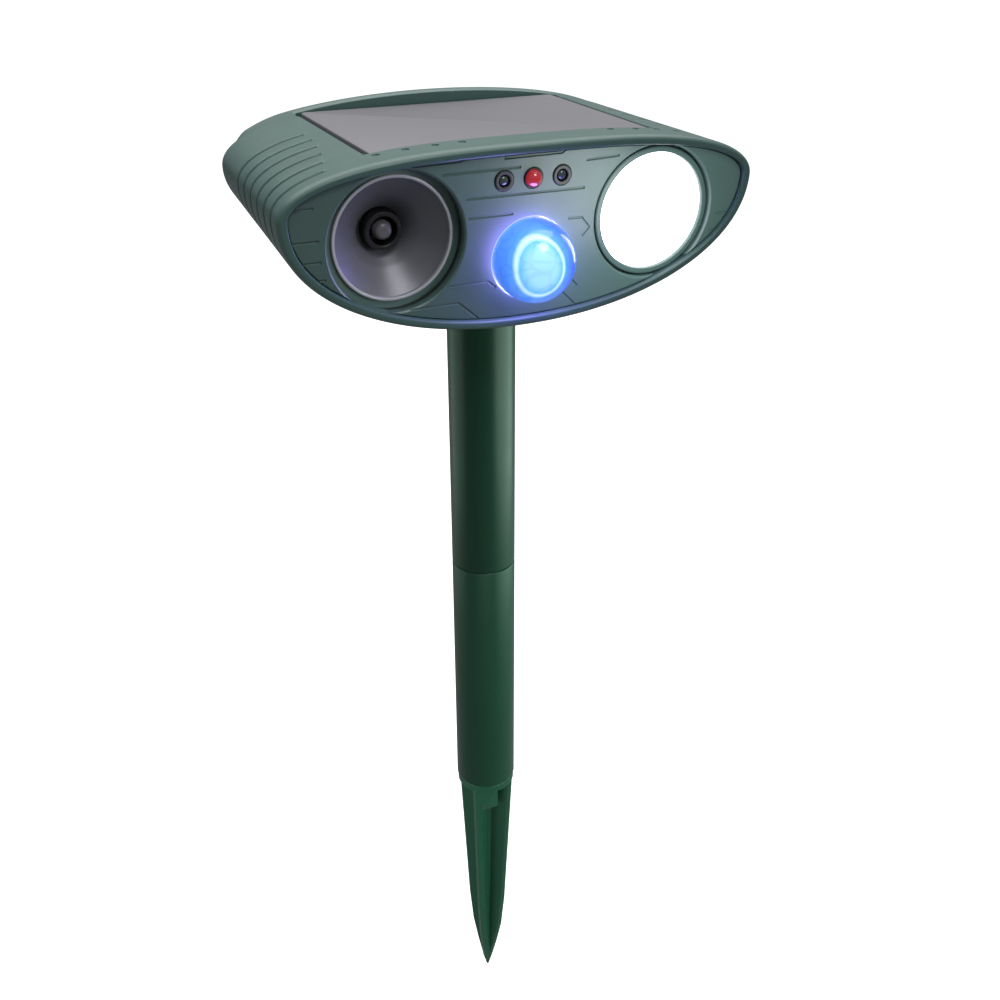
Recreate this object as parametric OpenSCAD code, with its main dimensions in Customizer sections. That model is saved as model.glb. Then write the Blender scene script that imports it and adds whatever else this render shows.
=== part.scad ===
// Solar ultrasonic pest repeller on a three-piece garden stake.
// Origin: on the stake's axis at the soil line, +Z up, the face looks towards -Y.

/* [Stake] */
// Outside diameter of the stake tubes
tube_d = 23; // [20:0.5:26]
// Wall of the stake tubes
tube_wall = 1.8; // [1.4:0.1:2.4]
// Height of the joint between the two tubes above the soil line
tube_joint_z = 99.4; // [80:0.1:130]
// Length of the plug that each section pushes into the next
plug_len = 22; // [15:1:30]
// Length of the ground spike below the soil line
spike_len = 112.7; // [90:0.1:140]
// Thickness of the spike's crossed fins
fin_t = 3.4; // [2.5:0.1:5]

/* [Head] */
// Half of the head's width
face_half_w = 75.6; // [70:0.1:85]
// Height of the head's widest point above the face's pivot
face_mid_z = 16.3; // [12:0.1:20]
// Rise of the top above the widest point
face_top_h = 15.8; // [13:0.1:20]
// Drop of the underside below the widest point
face_low_h = 39.1; // [35:0.1:45]
// Forward lean of the head, in degrees
face_tilt = 3.8; // [2:0.1:5]
// Height of the face's pivot above the soil line
face_z = 222.9; // [210:0.1:240]
// Distance of the face's pivot in front of the stake's axis
face_fwd = 37.8; // [35:0.1:40]
// Depth of the head's straight taper
taper_depth = 73; // [70:1:76]
// Wall of the housing
wall = 2.6; // [2:0.1:3]

/* [Face] */
// Distance of the speaker and the strobe from the middle
cup_x = 41.5; // [40:0.1:42]
// Height of the speaker and the strobe
cup_z = 7.5; // [7:0.1:8]
// Radius of the speaker's and the strobe's holes in the panel
cup_hole_r = 20.3; // [19:0.05:20.5]
// Radius of the motion sensor's dome
pir_r = 12.2; // [11.5:0.1:12.6]
// Spacing of the three indicator lamps
led_pitch = 9.25; // [8:0.05:10]
// Height of the three indicator lamps
led_z = 21.8; // [21:0.1:22]

/* [Solar panel] */
// Width of the solar panel
panel_w = 90; // [80:1:91]
// Depth of the solar panel
panel_d = 65.5; // [60:0.1:65.5]
// Thickness of the solar panel
panel_t = 2.6; // [2:0.1:2.8]

/* [Controls] */
// Diameter of the two rear dials
dial_d = 20; // [16:0.5:21]
// Height of the dials above the face's pivot
dial_z = 6.5; // [6:0.1:8]
// Running clearance of shafts and plugs, on the radius
run_gap = 0.06; // [0.02:0.01:0.1]

/* [Hidden] */
$fn = 48;
ring_n = 60;
slit = 0.01;
tube_r = tube_d / 2;
tube_bore = tube_r - tube_wall;
plug_r = tube_bore - run_gap;
socket_top = 230;
narrowing = 0.04;
low_rise = 0.23;
mid_drop = 3.0;
plate_d0 = 1.6;
plate_t = 2.4;
plate_d1 = plate_d0 + plate_t;
rim = 3.0;
ledge_d = 4.8;
ledge_end = 7;
back_d = 81.5;
panel_tilt = -2.53;
panel_at = [0, 13.66, 29.7];
tray_gap = 1.5;
tray_drop = panel_t + 0.6;
tray_floor = 2;
brow_d0 = 79.9;
brow_d1 = 84;
brow_top = 30.9;
brow_end = 27.2;
brow_half = 47.5;
groove_w = 1.7;
groove_cut = 1.1;
groove_d = [8, 16, 24.5, 33, 41.5, 50];
groove_x = [60, 57.5, 55.5, 54, 53, 52.5];
line_w = 0.7;
line_cut = 0.5;
tie_x = [-66.5, -18.5, 66.5];
tie_z = [14, 19.6, 14];
tie_seat = 11.5;
screw_r = 1.45;
screw_hole = 1.5;
bay_x0 = 15.2;
bay_x1 = 59.8;
bay_z = 7;
bay_h = 14.9;
bay_d0 = 27.6;
bay_rear = 82;
cell_r = 7.1;
cell_len = 49;
cell_x = [22.7, 37.5, 52.3];
cell_d0 = 31.6;
door_ear = [37.5, 18.6];
dial_x = [-43, -17];
dial_d0 = 82.3;
dial_h = 7.5;
shaft_r = 3;
usb_x = 3.5;
usb_z = 5.8;
flap_hinge = [83.1, 12.6];
cup_rim_r = 18;
pir_z = -1.8;
pir_mid_d = -1.5;
led_r = 2.5;
led_hole_r = 2.95;
strobe_r = 17.9;
throat_r = 6;
cone_d0 = 6.1;
cone_d1 = 17;
cup_ear_x = 22.6;
cup_wall_r = 20.8;
green = "#3f6f5c";
deep_green = "#17402c";

// Lines engraved in the face, as x and height in the head's own frame
face_lines = [
    [[-37, 28.2], [-22.5, 28.4], [-21, 29.2]],
    [[-10, 29.4], [-9, 28], [9, 28.2], [10.4, 29.4]],
    [[-28, 25], [-4, 25.2]],
    [[17, 25.4], [28, 25.8]],
    [[-21, 17.6], [17, 17.4]],
    [[-20, 12], [-6, 12]],
    [[12, 8.8], [16.6, 8.6], [19.4, 5.4], [17, 3]],
    [[-26, -7.4], [-13.6, -7.4], [-11, -9.6]],
    [[-38, -12.8], [-23, -12.8], [-16.6, -18.4]],
    [[11.2, -13.8], [16, -18.6]],
    [[14, -10], [16.4, -12.6]],
    [[-71, 19.4], [-65, 19.6]],
    [[-71.4, 10.5], [-64, 10.5]],
    [[-70, 4.6], [-63.6, 4.6]],
    [[-67, -0.6], [-62.6, -0.6]],
    [[64.5, 4.6], [69.8, 4.6]],
    [[63, -0.6], [66.6, -0.6]]
];

// Everything in the head is drawn as x, depth behind the face and height, then leaned forward
module head_frame() {
    translate([0, -face_fwd, face_z])
        rotate([face_tilt, 0, 0])
            children();
}

// Round bar along the depth
module rod(x, z, d0, d1, r) {
    translate([x, d0, z])
        rotate([-90, 0, 0])
            cylinder(h = d1 - d0, r = r);
}

// Cone or taper along the depth
module taper_rod(x, z, d0, d1, r0, r1) {
    translate([x, d0, z])
        rotate([-90, 0, 0])
            cylinder(h = d1 - d0, r1 = r0, r2 = r1);
}

// Flat shape in x and height, drawn through a stretch of depth
module slab(d0, d1) {
    translate([0, d1, 0])
        rotate([90, 0, 0])
            linear_extrude(d1 - d0)
                children();
}

module tube_along(x, z, d0, d1, outer, inner) {
    difference() {
        rod(x, z, d0, d1, outer);
        rod(x, z, d0 - 1, d1 + 1, inner);
    }
}

function signed_pow(v, p) = sign(v) * pow(abs(v), p);

// The head's outline at a depth, drawn in by an inset: an ellipse below and a squarer curve above
function outline_point(t, d, inset) =
    let (
        s = d / taper_depth,
        a = face_half_w * (1 - narrowing * s) - inset,
        up = face_top_h - inset,
        low = face_low_h * (1 - low_rise * s) - inset,
        mid = face_mid_z - mid_drop * s
    )
    sin(t) >= 0
        ? [a * signed_pow(cos(t), 2 / 3.1), mid + up * pow(sin(t), 2 / 2.1)]
        : [a * signed_pow(cos(t), 2 / 2.08), mid - low * pow(-sin(t), 2 / 2.08)];

function outline(d, inset) = [for (i = [0 : ring_n - 1]) outline_point(360 * i / ring_n, d, inset)];

// Closed body through a list of [depth, inset] sections
module loft(sections) {
    m = len(sections);
    points = [for (s = sections) for (p = outline(s[0], s[1])) [p[0], s[0], p[1]]];
    sides = [for (j = [0 : m - 2]) for (i = [0 : ring_n - 1])
        let (k = (i + 1) % ring_n, a = j * ring_n + i, b = j * ring_n + k, c = a + ring_n, e = b + ring_n)
        each [[a, b, e], [a, e, c]]];
    front = [[for (i = [ring_n - 1 : -1 : 0]) i]];
    back = [[for (i = [0 : ring_n - 1]) (m - 1) * ring_n + i]];
    polyhedron(points, concat(sides, front, back));
}

// Frame of the solar panel: x, distance behind its front edge, height above its face
module panel_frame() {
    translate(panel_at)
        rotate([panel_tilt, 0, 0])
            children();
}

module stake_profile() {
    polygon([[0, 0], [11.2, 0], [11.2, -3], [7.9, -70], [6.4, -86], [4.2, -97.5], [2, -107], [0.5, -spike_len],
        [0, -spike_len]]);
}

module stake_spike() {
    color(deep_green) {
        translate([0, 0, -1])
            cylinder(h = plug_len + 1, r = plug_r);
        translate([0, 0, -3])
            cylinder(h = 3, r = 11.2);
        translate([0, 0, -95])
            cylinder(h = 95, r1 = 2.2, r2 = 3.4);
        for (turn = [45 : 90 : 315])
            rotate([0, 0, turn])
                translate([0, fin_t / 2, 0])
                    rotate([90, 0, 0])
                        linear_extrude(fin_t)
                            stake_profile();
        translate([-1.6, -8.4, -13])
            cube([3.2, 5.4, 10.5]);
    }
}

module lower_tube() {
    color(deep_green)
        difference() {
            union() {
                cylinder(h = tube_joint_z, r = tube_r);
                cylinder(h = tube_joint_z + plug_len, r = plug_r);
            }
            translate([0, 0, -1])
                cylinder(h = tube_joint_z - 3, r = tube_bore);
            translate([0, 0, -1])
                cylinder(h = tube_joint_z + plug_len + 2, r = plug_r - tube_wall);
        }
}

module upper_tube() {
    color(deep_green)
        difference() {
            translate([0, 0, tube_joint_z])
                cylinder(h = socket_top - tube_joint_z, r = tube_r);
            translate([0, 0, tube_joint_z - 1])
                cylinder(h = socket_top - tube_joint_z - 2, r = tube_bore);
        }
}

// Solid block behind the rear wall that the battery bay and its door seat in
module bay_block() {
    slab(bay_d0 - 1.6, bay_rear)
        translate([bay_x0 - 1.4, bay_z - bay_h / 2 - 1.4])
            square([bay_x1 - bay_x0 + 2.8, bay_h + 2.8]);
}

module side_grooves() {
    for (i = [0 : len(groove_d) - 1])
        slab(groove_d[i] - groove_w / 2, groove_d[i] + groove_w / 2)
            difference() {
                for (side = [-1, 1])
                    translate([side * (groove_x[i] + 20), 0])
                        square([40, 90], center = true);
                polygon(outline(groove_d[i], groove_cut));
            }
}

// Lip behind the solar panel, from a given height up to its arched top
module brow_shape(low) {
    polygon([[-brow_half, low], [brow_half, low], [brow_half, brow_end],
        for (x = [40 : -10 : -40])
            [x, brow_end + (brow_top - brow_end) * cos(90 * x / brow_half)],
        [-brow_half, brow_end]]);
}

module main_housing() {
    color(green)
        difference() {
            union() {
                head_frame()
                    difference() {
                        union() {
                            loft([[0, 1.5], [0.9, 0.5], [2.6, 0], [taper_depth, 0], [77, 1.3], [80, 3.6], [back_d, 6.5]]);
                            slab(brow_d0, back_d)
                                brow_shape(12);
                            slab(back_d - slit, brow_d1)
                                brow_shape(22.4);
                        }
                        loft([[-1, rim], [ledge_d, rim]]);
                        difference() {
                            loft([[4, 5.4], [ledge_end, 5.4], [ledge_end + 0.5, wall], [74, wall], [78, 5],
                                [back_d - wall, 8]]);
                            translate([-panel_w / 2 - 4, 10.5, 20])
                                translate([0, 0, panel_at[2] - 20 - tray_drop - tray_floor])
                                    rotate([panel_tilt, 0, 0])
                                        cube([panel_w + 8, 75, 20]);
                        }
                        panel_frame()
                            translate([-panel_w / 2 - tray_gap, -0.6, -tray_drop])
                                cube([panel_w + 2 * tray_gap, panel_d + 1.2, 20]);
                        side_grooves();
                    }
                head_frame() {
                    bay_block();
                    for (i = [0 : len(tie_x) - 1])
                        rod(tie_x[i], tie_z[i], plate_d1 + 4, 80, 4);
                    rod(door_ear[0], door_ear[1], 70, bay_rear, 3.2);
                    for (side = [-1, 1])
                        translate([usb_x + side * 6.8 - 0.8, back_d - 1, flap_hinge[1] - 1.6])
                            cube([1.6, flap_hinge[0] - back_d + 2.4, 3.2]);
                }
                translate([0, 0, socket_top - 26])
                    cylinder(h = 28.4, r = tube_r + run_gap + 2);
            }
            translate([0, 0, 150])
                cylinder(h = socket_top - 150, r = tube_r + run_gap);
            head_frame() {
                for (side = [-1, 1])
                    rod(side * cup_x, cup_z, 4, 8, cup_wall_r + 0.2);
                for (i = [0 : len(tie_x) - 1]) {
                    rod(tie_x[i], tie_z[i], 0, 90, screw_hole);
                    rod(tie_x[i], tie_z[i], tie_seat, 95, 3);
                }
                slab(bay_d0, bay_rear + 1)
                    translate([bay_x0, bay_z - bay_h / 2])
                        square([bay_x1 - bay_x0, bay_h]);
                rod(door_ear[0], door_ear[1], 72, 90, screw_hole);
                for (x = dial_x)
                    rod(x, dial_z, 70, 90, shaft_r + 0.5);
                slab(76, 90)
                    translate([usb_x - 5.4, usb_z - 3.1])
                        square([10.8, 5.6]);
                translate([usb_x - 9, flap_hinge[0], flap_hinge[1]])
                    rotate([0, 90, 0])
                        cylinder(h = 18, r = 0.71);
                rod(-30, 21, 20, 21, 0.9);
            }
        }
}

module line_cuts() {
    for (run = face_lines)
        for (i = [0 : len(run) - 2]) {
            a = run[i];
            b = run[i + 1];
            step = b - a;
            translate([a[0], plate_d0 - 1, a[1]])
                rotate([0, -atan2(step[1], step[0]), 0])
                    translate([-line_w / 2, 0, -line_w / 2])
                        cube([norm(step) + line_w, 1 + line_cut, line_w]);
        }
}

module front_panel() {
    color("#4b6a61")
        head_frame()
            difference() {
                union() {
                    slab(plate_d0, plate_d1)
                        polygon(outline(2, rim + 0.15));
                    for (i = [0 : len(tie_x) - 1])
                        rod(tie_x[i], tie_z[i], plate_d1 - slit, plate_d1 + 3.8, 3.2);
                }
                for (side = [-1, 1]) {
                    rod(side * cup_x, cup_z, 0, 10, cup_hole_r);
                    taper_rod(side * cup_x, cup_z, plate_d0 - slit, plate_d0 + 0.7, cup_hole_r + 0.7, cup_hole_r);
                }
                rod(0, pir_z, 0, 10, pir_r + 0.3);
                for (i = [-1 : 1])
                    rod(i * led_pitch, led_z, 0, 10, led_hole_r);
                for (i = [0 : len(tie_x) - 1])
                    rod(tie_x[i], tie_z[i], plate_d1 - 1, 12, screw_hole);
                line_cuts();
            }
}

module face_seal() {
    color("#202422")
        head_frame()
            slab(plate_d1 + 0.02, ledge_d - 0.02)
                difference() {
                    polygon(outline(3, rim + 0.3));
                    polygon(outline(3, rim + 2.2));
                    for (side = [-1, 1])
                        translate([side * cup_x, cup_z])
                            circle(r = cup_wall_r + 0.2);
                }
}

module pan_screw(x, z, seat, length) {
    rod(x, z, seat - length, seat, screw_r);
    difference() {
        rod(x, z, seat, seat + 1.9, 2.7);
        for (turn = [0, 90])
            translate([x, seat + 1.4, z])
                rotate([0, turn, 0])
                    cube([3, 1.2, 0.6], center = true);
    }
}

module housing_screws() {
    color("#8c8f91")
        head_frame()
            for (i = [0 : len(tie_x) - 1])
                pan_screw(tie_x[i], tie_z[i], tie_seat, 8);
}

module solar_panel() {
    color("#4c4a55")
        head_frame()
            panel_frame()
                translate([-panel_w / 2, 0, -panel_t])
                    cube([panel_w, panel_d, panel_t]);
}

module solar_seal() {
    color("#1c1c1c")
        head_frame()
            panel_frame()
                translate([0, panel_d / 2, -tray_drop + 0.02])
                    linear_extrude(tray_drop - panel_t - 0.04)
                        difference() {
                            square([panel_w - 1, panel_d - 1], center = true);
                            square([panel_w - 9, panel_d - 9], center = true);
                        }
}

// Cup turned about the depth axis from points of [radius, depth]
module turned(x, z) {
    translate([x, 0, z])
        rotate([-90, 0, 0])
            rotate_extrude($fn = 64)
                children();
}

// Flange and screw ears behind the face panel, kept inside the housing's opening
module cup_flange(x) {
    difference() {
        union() {
            intersection() {
                rod(x, cup_z, plate_d1 + 0.02, plate_d1 + 2, 22.4);
                slab(0, 20)
                    polygon(outline(5, 5.6));
            }
            for (side = [-1, 1])
                rod(x + side * cup_ear_x, cup_z, plate_d1 + 0.02, plate_d1 + 2, 2.6);
        }
        rod(x, cup_z, 0, 20, cup_wall_r - 0.2);
    }
}

module cup_ear_holes(x) {
    for (side = [-1, 1])
        rod(x + side * cup_ear_x, cup_z, 0, 20, screw_hole);
}

module speaker_horn() {
    color("#6e6e73")
        head_frame()
            difference() {
                union() {
                    turned(-cup_x, cup_z)
                        polygon([[20.4, plate_d1 + 0.02], [cup_wall_r, plate_d1 + 0.02], [cup_wall_r, 6.4], [17, 9.5],
                            [8.2, cone_d1 + 1.6], [throat_r, cone_d1 + 1.6], [throat_r, cone_d1], [10, 13], [14.4, 9.4],
                            [cup_rim_r, cone_d0], [cup_rim_r + 0.9, cone_d0 - 0.5], [20.4, cone_d0 - 0.5]]);
                    cup_flange(-cup_x);
                }
                cup_ear_holes(-cup_x);
                for (side = [-1, 1])
                    rod(-cup_x + side * cup_ear_x, cup_z, plate_d1 + 2, 9, 2.9);
            }
}

// Round-nosed plug and the ring round it, joined by three webs
module speaker_plug() {
    color("#9a9ca0")
        head_frame() {
            turned(-cup_x, cup_z)
                polygon([[0, 12.6], [1.4, 12.9], [2.5, 13.8], [3, 15.4], [3, cone_d1 + 1.6], [0, cone_d1 + 1.6]]);
            tube_along(-cup_x, cup_z, 12.8, cone_d1 + 1.6, 5.7, 4.2);
            for (turn = [0 : 120 : 240])
                translate([-cup_x, cone_d1 + 0.9, cup_z])
                    rotate([0, turn, 0])
                        translate([3.6, 0, 0])
                            cube([1.8, 1.2, 1.2], center = true);
        }
}

module speaker_driver() {
    color("#26282a")
        head_frame()
            difference() {
                union() {
                    rod(-cup_x, cup_z, cone_d1 + 1.64, 21, 16);
                    rod(-cup_x, cup_z, 21, 27, 13);
                    for (side = [-1, 1])
                        translate([-cup_x + side * 6 - 1, 26.9, cup_z - 0.3])
                            cube([2, 3.5, 0.6]);
                }
                rod(-cup_x, cup_z, cone_d1, 19.8, throat_r - 0.6);
            }
}

module cup_screws() {
    color("#8c8f91")
        head_frame()
            for (x = [-cup_x, cup_x])
                for (side = [-1, 1])
                    pan_screw(x + side * cup_ear_x, cup_z, plate_d1 + 2, 1.9);
}

module strobe_reflector() {
    color("#d8dadd")
        head_frame()
            difference() {
                union() {
                    turned(cup_x, cup_z)
                        polygon([[19.4, 5.8], [20.5, 5.8], [20.5, 7], [15.9, 10.6], [13.6, 14.6], [10.2, 18.8], [7, 18.8],
                            [7, 18], [9.4, 18], [12.2, 14], [14.6, 10.5], [18.6, 7], [19.4, 6.4]]);
                    translate([cup_x, 0, 0])
                        for (side = [-1, 1])
                            translate([side * 21.6 - 1.8, plate_d1 + 2.04, cup_z - 2.6])
                                cube([3.6, 1.6, 5.2]);
                }
                cup_ear_holes(cup_x);
                for (side = [-1, 1])
                    rod(cup_x + side * cup_ear_x, cup_z, 5, 9, 2.9);
            }
}

module strobe_lens() {
    color("#f4f7f8", 0.5)
        head_frame()
            union() {
                rod(cup_x, cup_z, 3.9, 5.7, 20.1);
                rod(cup_x, cup_z, 3.1, 4, strobe_r - 0.1);
            }
}

module strobe_bezel() {
    color("#30453e")
        head_frame()
            tube_along(cup_x, cup_z, 2.2, 3.86, 19.7, strobe_r);
}

module strobe_board() {
    color("#e9ecec")
        head_frame()
            rod(cup_x, cup_z, 18.9, 20.5, 13);
}

module strobe_leds() {
    color("#fff6cf")
        head_frame()
            for (turn = [0 : 60 : 300])
                translate([cup_x, 0, cup_z])
                    rotate([0, turn, 0])
                        translate([-1.4, 17.5, 3.2])
                            cube([2.8, 1.38, 2.8]);
}

module pir_lens() {
    color("#cfe0ff", 0.6)
        head_frame()
            turned(0, pir_z)
                difference() {
                    union() {
                        translate([0, pir_mid_d])
                            circle(r = pir_r);
                        translate([0, pir_mid_d])
                            square([pir_r, 5.4 - pir_mid_d]);
                        translate([0, plate_d1 + 0.02])
                            square([15, 1.4]);
                    }
                    translate([0, pir_mid_d])
                        circle(r = pir_r - 1);
                    translate([-1, pir_mid_d])
                        square([pir_r, 20]);
                    translate([-20, -20])
                        square([20, 40]);
                }
}

module pir_retainer() {
    color("#1e2226")
        head_frame()
            tube_along(0, pir_z, 5.46, 7.4, 15, 11.4);
}

module pir_sensor() {
    color("#b9bcc0")
        head_frame() {
            rod(0, pir_z, 7.9, 12.16, 4.6);
            for (turn = [90, 210, 330])
                rod(2.54 * cos(turn), pir_z + 2.54 * sin(turn), 12.1, 12.18, 0.3);
        }
}

// Five-millimetre lamp: dome, body, flange and two legs
module indicator(x, dome_d) {
    head_frame() {
        rod(x, led_z, dome_d, 7, led_r);
        translate([x, dome_d, led_z])
            sphere(r = led_r);
        rod(x, led_z, 6, 7, led_r + 0.4);
        for (side = [-1, 1])
            rod(x + side * 1.27, led_z, 6.9, 12.16, 0.3);
    }
}

module led_left() {
    color("#c9cfcd")
        indicator(-led_pitch, plate_d0 + 0.5);
}

module led_centre() {
    color("#b8323a")
        indicator(0, plate_d0);
}

module led_right() {
    color("#c9cfcd")
        indicator(led_pitch, plate_d0 + 0.5);
}

module led_bezels() {
    color("#141816")
        head_frame()
            for (i = [-1 : 1])
                tube_along(i * led_pitch, led_z, plate_d0 - 0.3, plate_d1, led_hole_r - 0.05, led_r + 0.05);
}

module board(x0, x1, z0, z1, d0, thick) {
    slab(d0, d0 + thick)
        translate([x0, z0])
            square([x1 - x0, z1 - z0]);
}

module front_board() {
    color("#1f5c3a")
        head_frame()
            board(-13.4, 13.4, -14, 24, 12.2, 1.2);
}

module main_board() {
    color("#1f5c3a")
        head_frame()
            difference() {
                board(-60, -16, -2.6, 20.5, 33, 1.6);
                rod(tie_x[1], tie_z[1], 30, 40, 4.5);
            }
}

// Transformer, capacitors, controller and plugs on the main board
module board_parts() {
    color("#2b2b2e")
        head_frame() {
            board(-56, -43, 4, 17, 34.6, 10);
            board(-38, -29, 8, 17, 34.6, 2.2);
            rod(-34, 0, 34.6, 45, 4);
            rod(-24, 0, 34.6, 42, 3.2);
            board(-26, -18, 10, 15, 34.6, 5);
            board(-56, -47, -2.2, 1.8, 34.6, 5);
        }
}

module dial_board() {
    color("#1f5c3a")
        head_frame()
            board(-54, -6.5, -2, 15, 69, 1.6);
}

module switch_body(x) {
    head_frame()
        difference() {
            union() {
                rod(x, dial_z, 70.62, 76.6, 8);
                rod(x, dial_z, 76.5, 78.4, 4.5);
            }
            rod(x, dial_z, 72.6, 90, shaft_r + run_gap);
        }
}

module frequency_switch() {
    color("#3a3d40")
        switch_body(dial_x[0]);
}

module sensitivity_pot() {
    color("#2f5f8a")
        switch_body(dial_x[1]);
}

module dial_seals() {
    color("#101010")
        head_frame()
            for (x = dial_x)
                tube_along(x, dial_z, back_d + 0.02, dial_d0 - 0.05, 5, shaft_r + 0.3);
}

module knob(x) {
    head_frame()
        difference() {
            union() {
                rod(x, dial_z, dial_d0, dial_d0 + 2, dial_d / 2);
                rod(x, dial_z, dial_d0 + 2, dial_d0 + dial_h, dial_d / 2 - 1.2);
            }
            for (turn = [0 : 20 : 340])
                rod(x + (dial_d / 2 - 0.6) * cos(turn), dial_z + (dial_d / 2 - 0.6) * sin(turn), dial_d0 + 2,
                    dial_d0 + dial_h + 1, 0.9);
            rod(x, dial_z, dial_d0 - 1, dial_d0 + 5, shaft_r);
            translate([x - 0.5, dial_d0 + dial_h - 0.6, dial_z + 2.4])
                cube([1, 1, 5.8]);
        }
}

module shaft(x) {
    head_frame()
        rod(x, dial_z, 72.8, dial_d0 + 5, shaft_r);
}

module frequency_knob() {
    color("#1b2a24")
        knob(dial_x[0]);
}

module frequency_shaft() {
    color("#c8b26a")
        shaft(dial_x[0]);
}

module sensitivity_knob() {
    color("#1b2a24")
        knob(dial_x[1]);
}

module sensitivity_shaft() {
    color("#c8b26a")
        shaft(dial_x[1]);
}

module usb_board() {
    color("#1f5c3a")
        head_frame()
            translate([usb_x - 8, 62, usb_z - 2.8])
                cube([16, 14, 1.2]);
}

module usb_socket() {
    color("#c6c9cc")
        head_frame()
            difference() {
                translate([usb_x - 4.5, 69, usb_z - 1.59])
                    cube([9, 10.4, 3.2]);
                translate([usb_x - 4, 73, usb_z - 1.1])
                    cube([8, 8, 2.2]);
                translate([usb_x - 3, 72.5, usb_z - 0.3])
                    cube([6, 0.6, 0.6]);
            }
}

module battery_cells() {
    color("#3b6fa3")
        head_frame()
            for (x = cell_x) {
                rod(x, bay_z, cell_d0, cell_d0 + cell_len - 1, cell_r);
                rod(x, bay_z, cell_d0 + cell_len - 1.1, cell_d0 + cell_len, 2.7);
            }
}

module battery_springs() {
    color("#b8bcc0")
        head_frame()
            for (x = cell_x) {
                translate([x - 6, bay_d0 + 0.02, bay_z - 6])
                    cube([12, 0.4, 12]);
                taper_rod(x, bay_z, bay_d0 + 0.4, cell_d0 - 0.02, 5, 2.6);
            }
}

// Insulated wire through a list of points
module wire(points, r) {
    for (i = [0 : len(points) - 2]) {
        v = points[i + 1] - points[i];
        translate(points[i])
            rotate([0, acos(v[2] / norm(v)), atan2(v[1], v[0])])
                cylinder(h = norm(v), r = r, $fn = 16);
    }
    for (i = [1 : len(points) - 2])
        translate(points[i])
            sphere(r = r * 1.3, $fn = 16);
}

module solar_leads() {
    color("#b02a2a")
        head_frame()
            for (k = [0, 1])
                wire([[-28 - 2.2 * k, 34.65, 17.6 + k], [-28 - 2.2 * k, 50, 17.6 + k], [-28 - 2.2 * k, 58, 20.6]], 0.6);
}

module speaker_leads() {
    color("#d0d0d0")
        head_frame()
            for (k = [-1, 1])
                wire([[-cup_x + 6 * k, 30.5, cup_z], [-cup_x + 6 * k, 32.7, cup_z - 1]], 0.6);
}

module battery_leads() {
    color("#222222")
        head_frame()
            for (k = [0, 1])
                wire([[-22 - 2 * k, 39.65, 12.5], [-22 - 2 * k, 55, 12.5], [-22 - 2 * k, 68.95, 9]], 0.6);
}

module usb_cover() {
    color("#1a1d1c")
        head_frame()
            difference() {
                union() {
                    translate([usb_x - 7, back_d + 0.3, usb_z - 4.4])
                        cube([14, 1.5, 8.6]);
                    translate([usb_x - 4.8, back_d - 0.9, usb_z - 1.7])
                        cube([9.6, 1.3, 3.2]);
                    translate([usb_x - 5.6, flap_hinge[0], flap_hinge[1]])
                        rotate([0, 90, 0])
                            cylinder(h = 11.2, r = 1.4);
                    translate([usb_x - 5.6, flap_hinge[0] - 1.3, usb_z + 4])
                        cube([11.2, 1.5, flap_hinge[1] - usb_z - 4]);
                    translate([usb_x - 3, back_d + 1.7, usb_z - 4.4])
                        cube([6, 1.4, 1.2]);
                }
                translate([usb_x - 9, flap_hinge[0], flap_hinge[1]])
                    rotate([0, 90, 0])
                        cylinder(h = 18, r = 0.75);
            }
}

module usb_cover_pin() {
    color("#9a9da0")
        head_frame()
            translate([usb_x - 7.6, flap_hinge[0], flap_hinge[1]])
                rotate([0, 90, 0])
                    cylinder(h = 15.2, r = 0.7);
}

module battery_door() {
    color(green)
        head_frame()
            difference() {
                union() {
                    slab(bay_rear + 0.8, bay_rear + 2.8)
                        translate([bay_x0 - 1.2, bay_z - bay_h / 2 - 1.2])
                            square([bay_x1 - bay_x0 + 2.4, bay_h + 2.4]);
                    rod(door_ear[0], door_ear[1], bay_rear + 0.8, bay_rear + 2.8, 3.2);
                    for (i = [0 : 4])
                        slab(bay_rear + 2.7, bay_rear + 3.4)
                            translate([bay_x1 - 8 + i * 1.6, bay_z - 5])
                                square([0.8, 10]);
                }
                rod(door_ear[0], door_ear[1], 70, 95, screw_hole + 0.1);
            }
}

module battery_door_seal() {
    color("#15181a")
        head_frame()
            slab(bay_rear + 0.02, bay_rear + 0.78)
                difference() {
                    translate([bay_x0 - 1.1, bay_z - bay_h / 2 - 1.1])
                        square([bay_x1 - bay_x0 + 2.2, bay_h + 2.2]);
                    translate([bay_x0, bay_z - bay_h / 2])
                        square([bay_x1 - bay_x0, bay_h]);
                }
}

module battery_contacts() {
    color("#b8bcc0")
        head_frame()
            for (x = cell_x) {
                slab(bay_rear + 0.3, bay_rear + 0.78)
                    translate([x - 5.5, bay_z - 5.5])
                        square([11, 11]);
                rod(x, bay_z, cell_d0 + cell_len + 0.02, bay_rear + 0.4, 2.4);
            }
}

module battery_door_screw() {
    color("#8c8f91")
        head_frame()
            pan_screw(door_ear[0], door_ear[1], bay_rear + 2.82, 9);
}

stake_spike();
lower_tube();
upper_tube();
main_housing();
front_panel();
face_seal();
housing_screws();
solar_panel();
solar_seal();
speaker_horn();
speaker_plug();
speaker_driver();
cup_screws();
strobe_reflector();
strobe_lens();
strobe_bezel();
strobe_board();
strobe_leds();
pir_lens();
pir_retainer();
pir_sensor();
led_left();
led_centre();
led_right();
led_bezels();
front_board();
main_board();
board_parts();
dial_board();
frequency_switch();
sensitivity_pot();
dial_seals();
usb_board();
usb_socket();
battery_cells();
battery_springs();
solar_leads();
speaker_leads();
battery_leads();
frequency_knob();
frequency_shaft();
sensitivity_knob();
sensitivity_shaft();
usb_cover();
usb_cover_pin();
battery_door();
battery_door_seal();
battery_contacts();
battery_door_screw();
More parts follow.
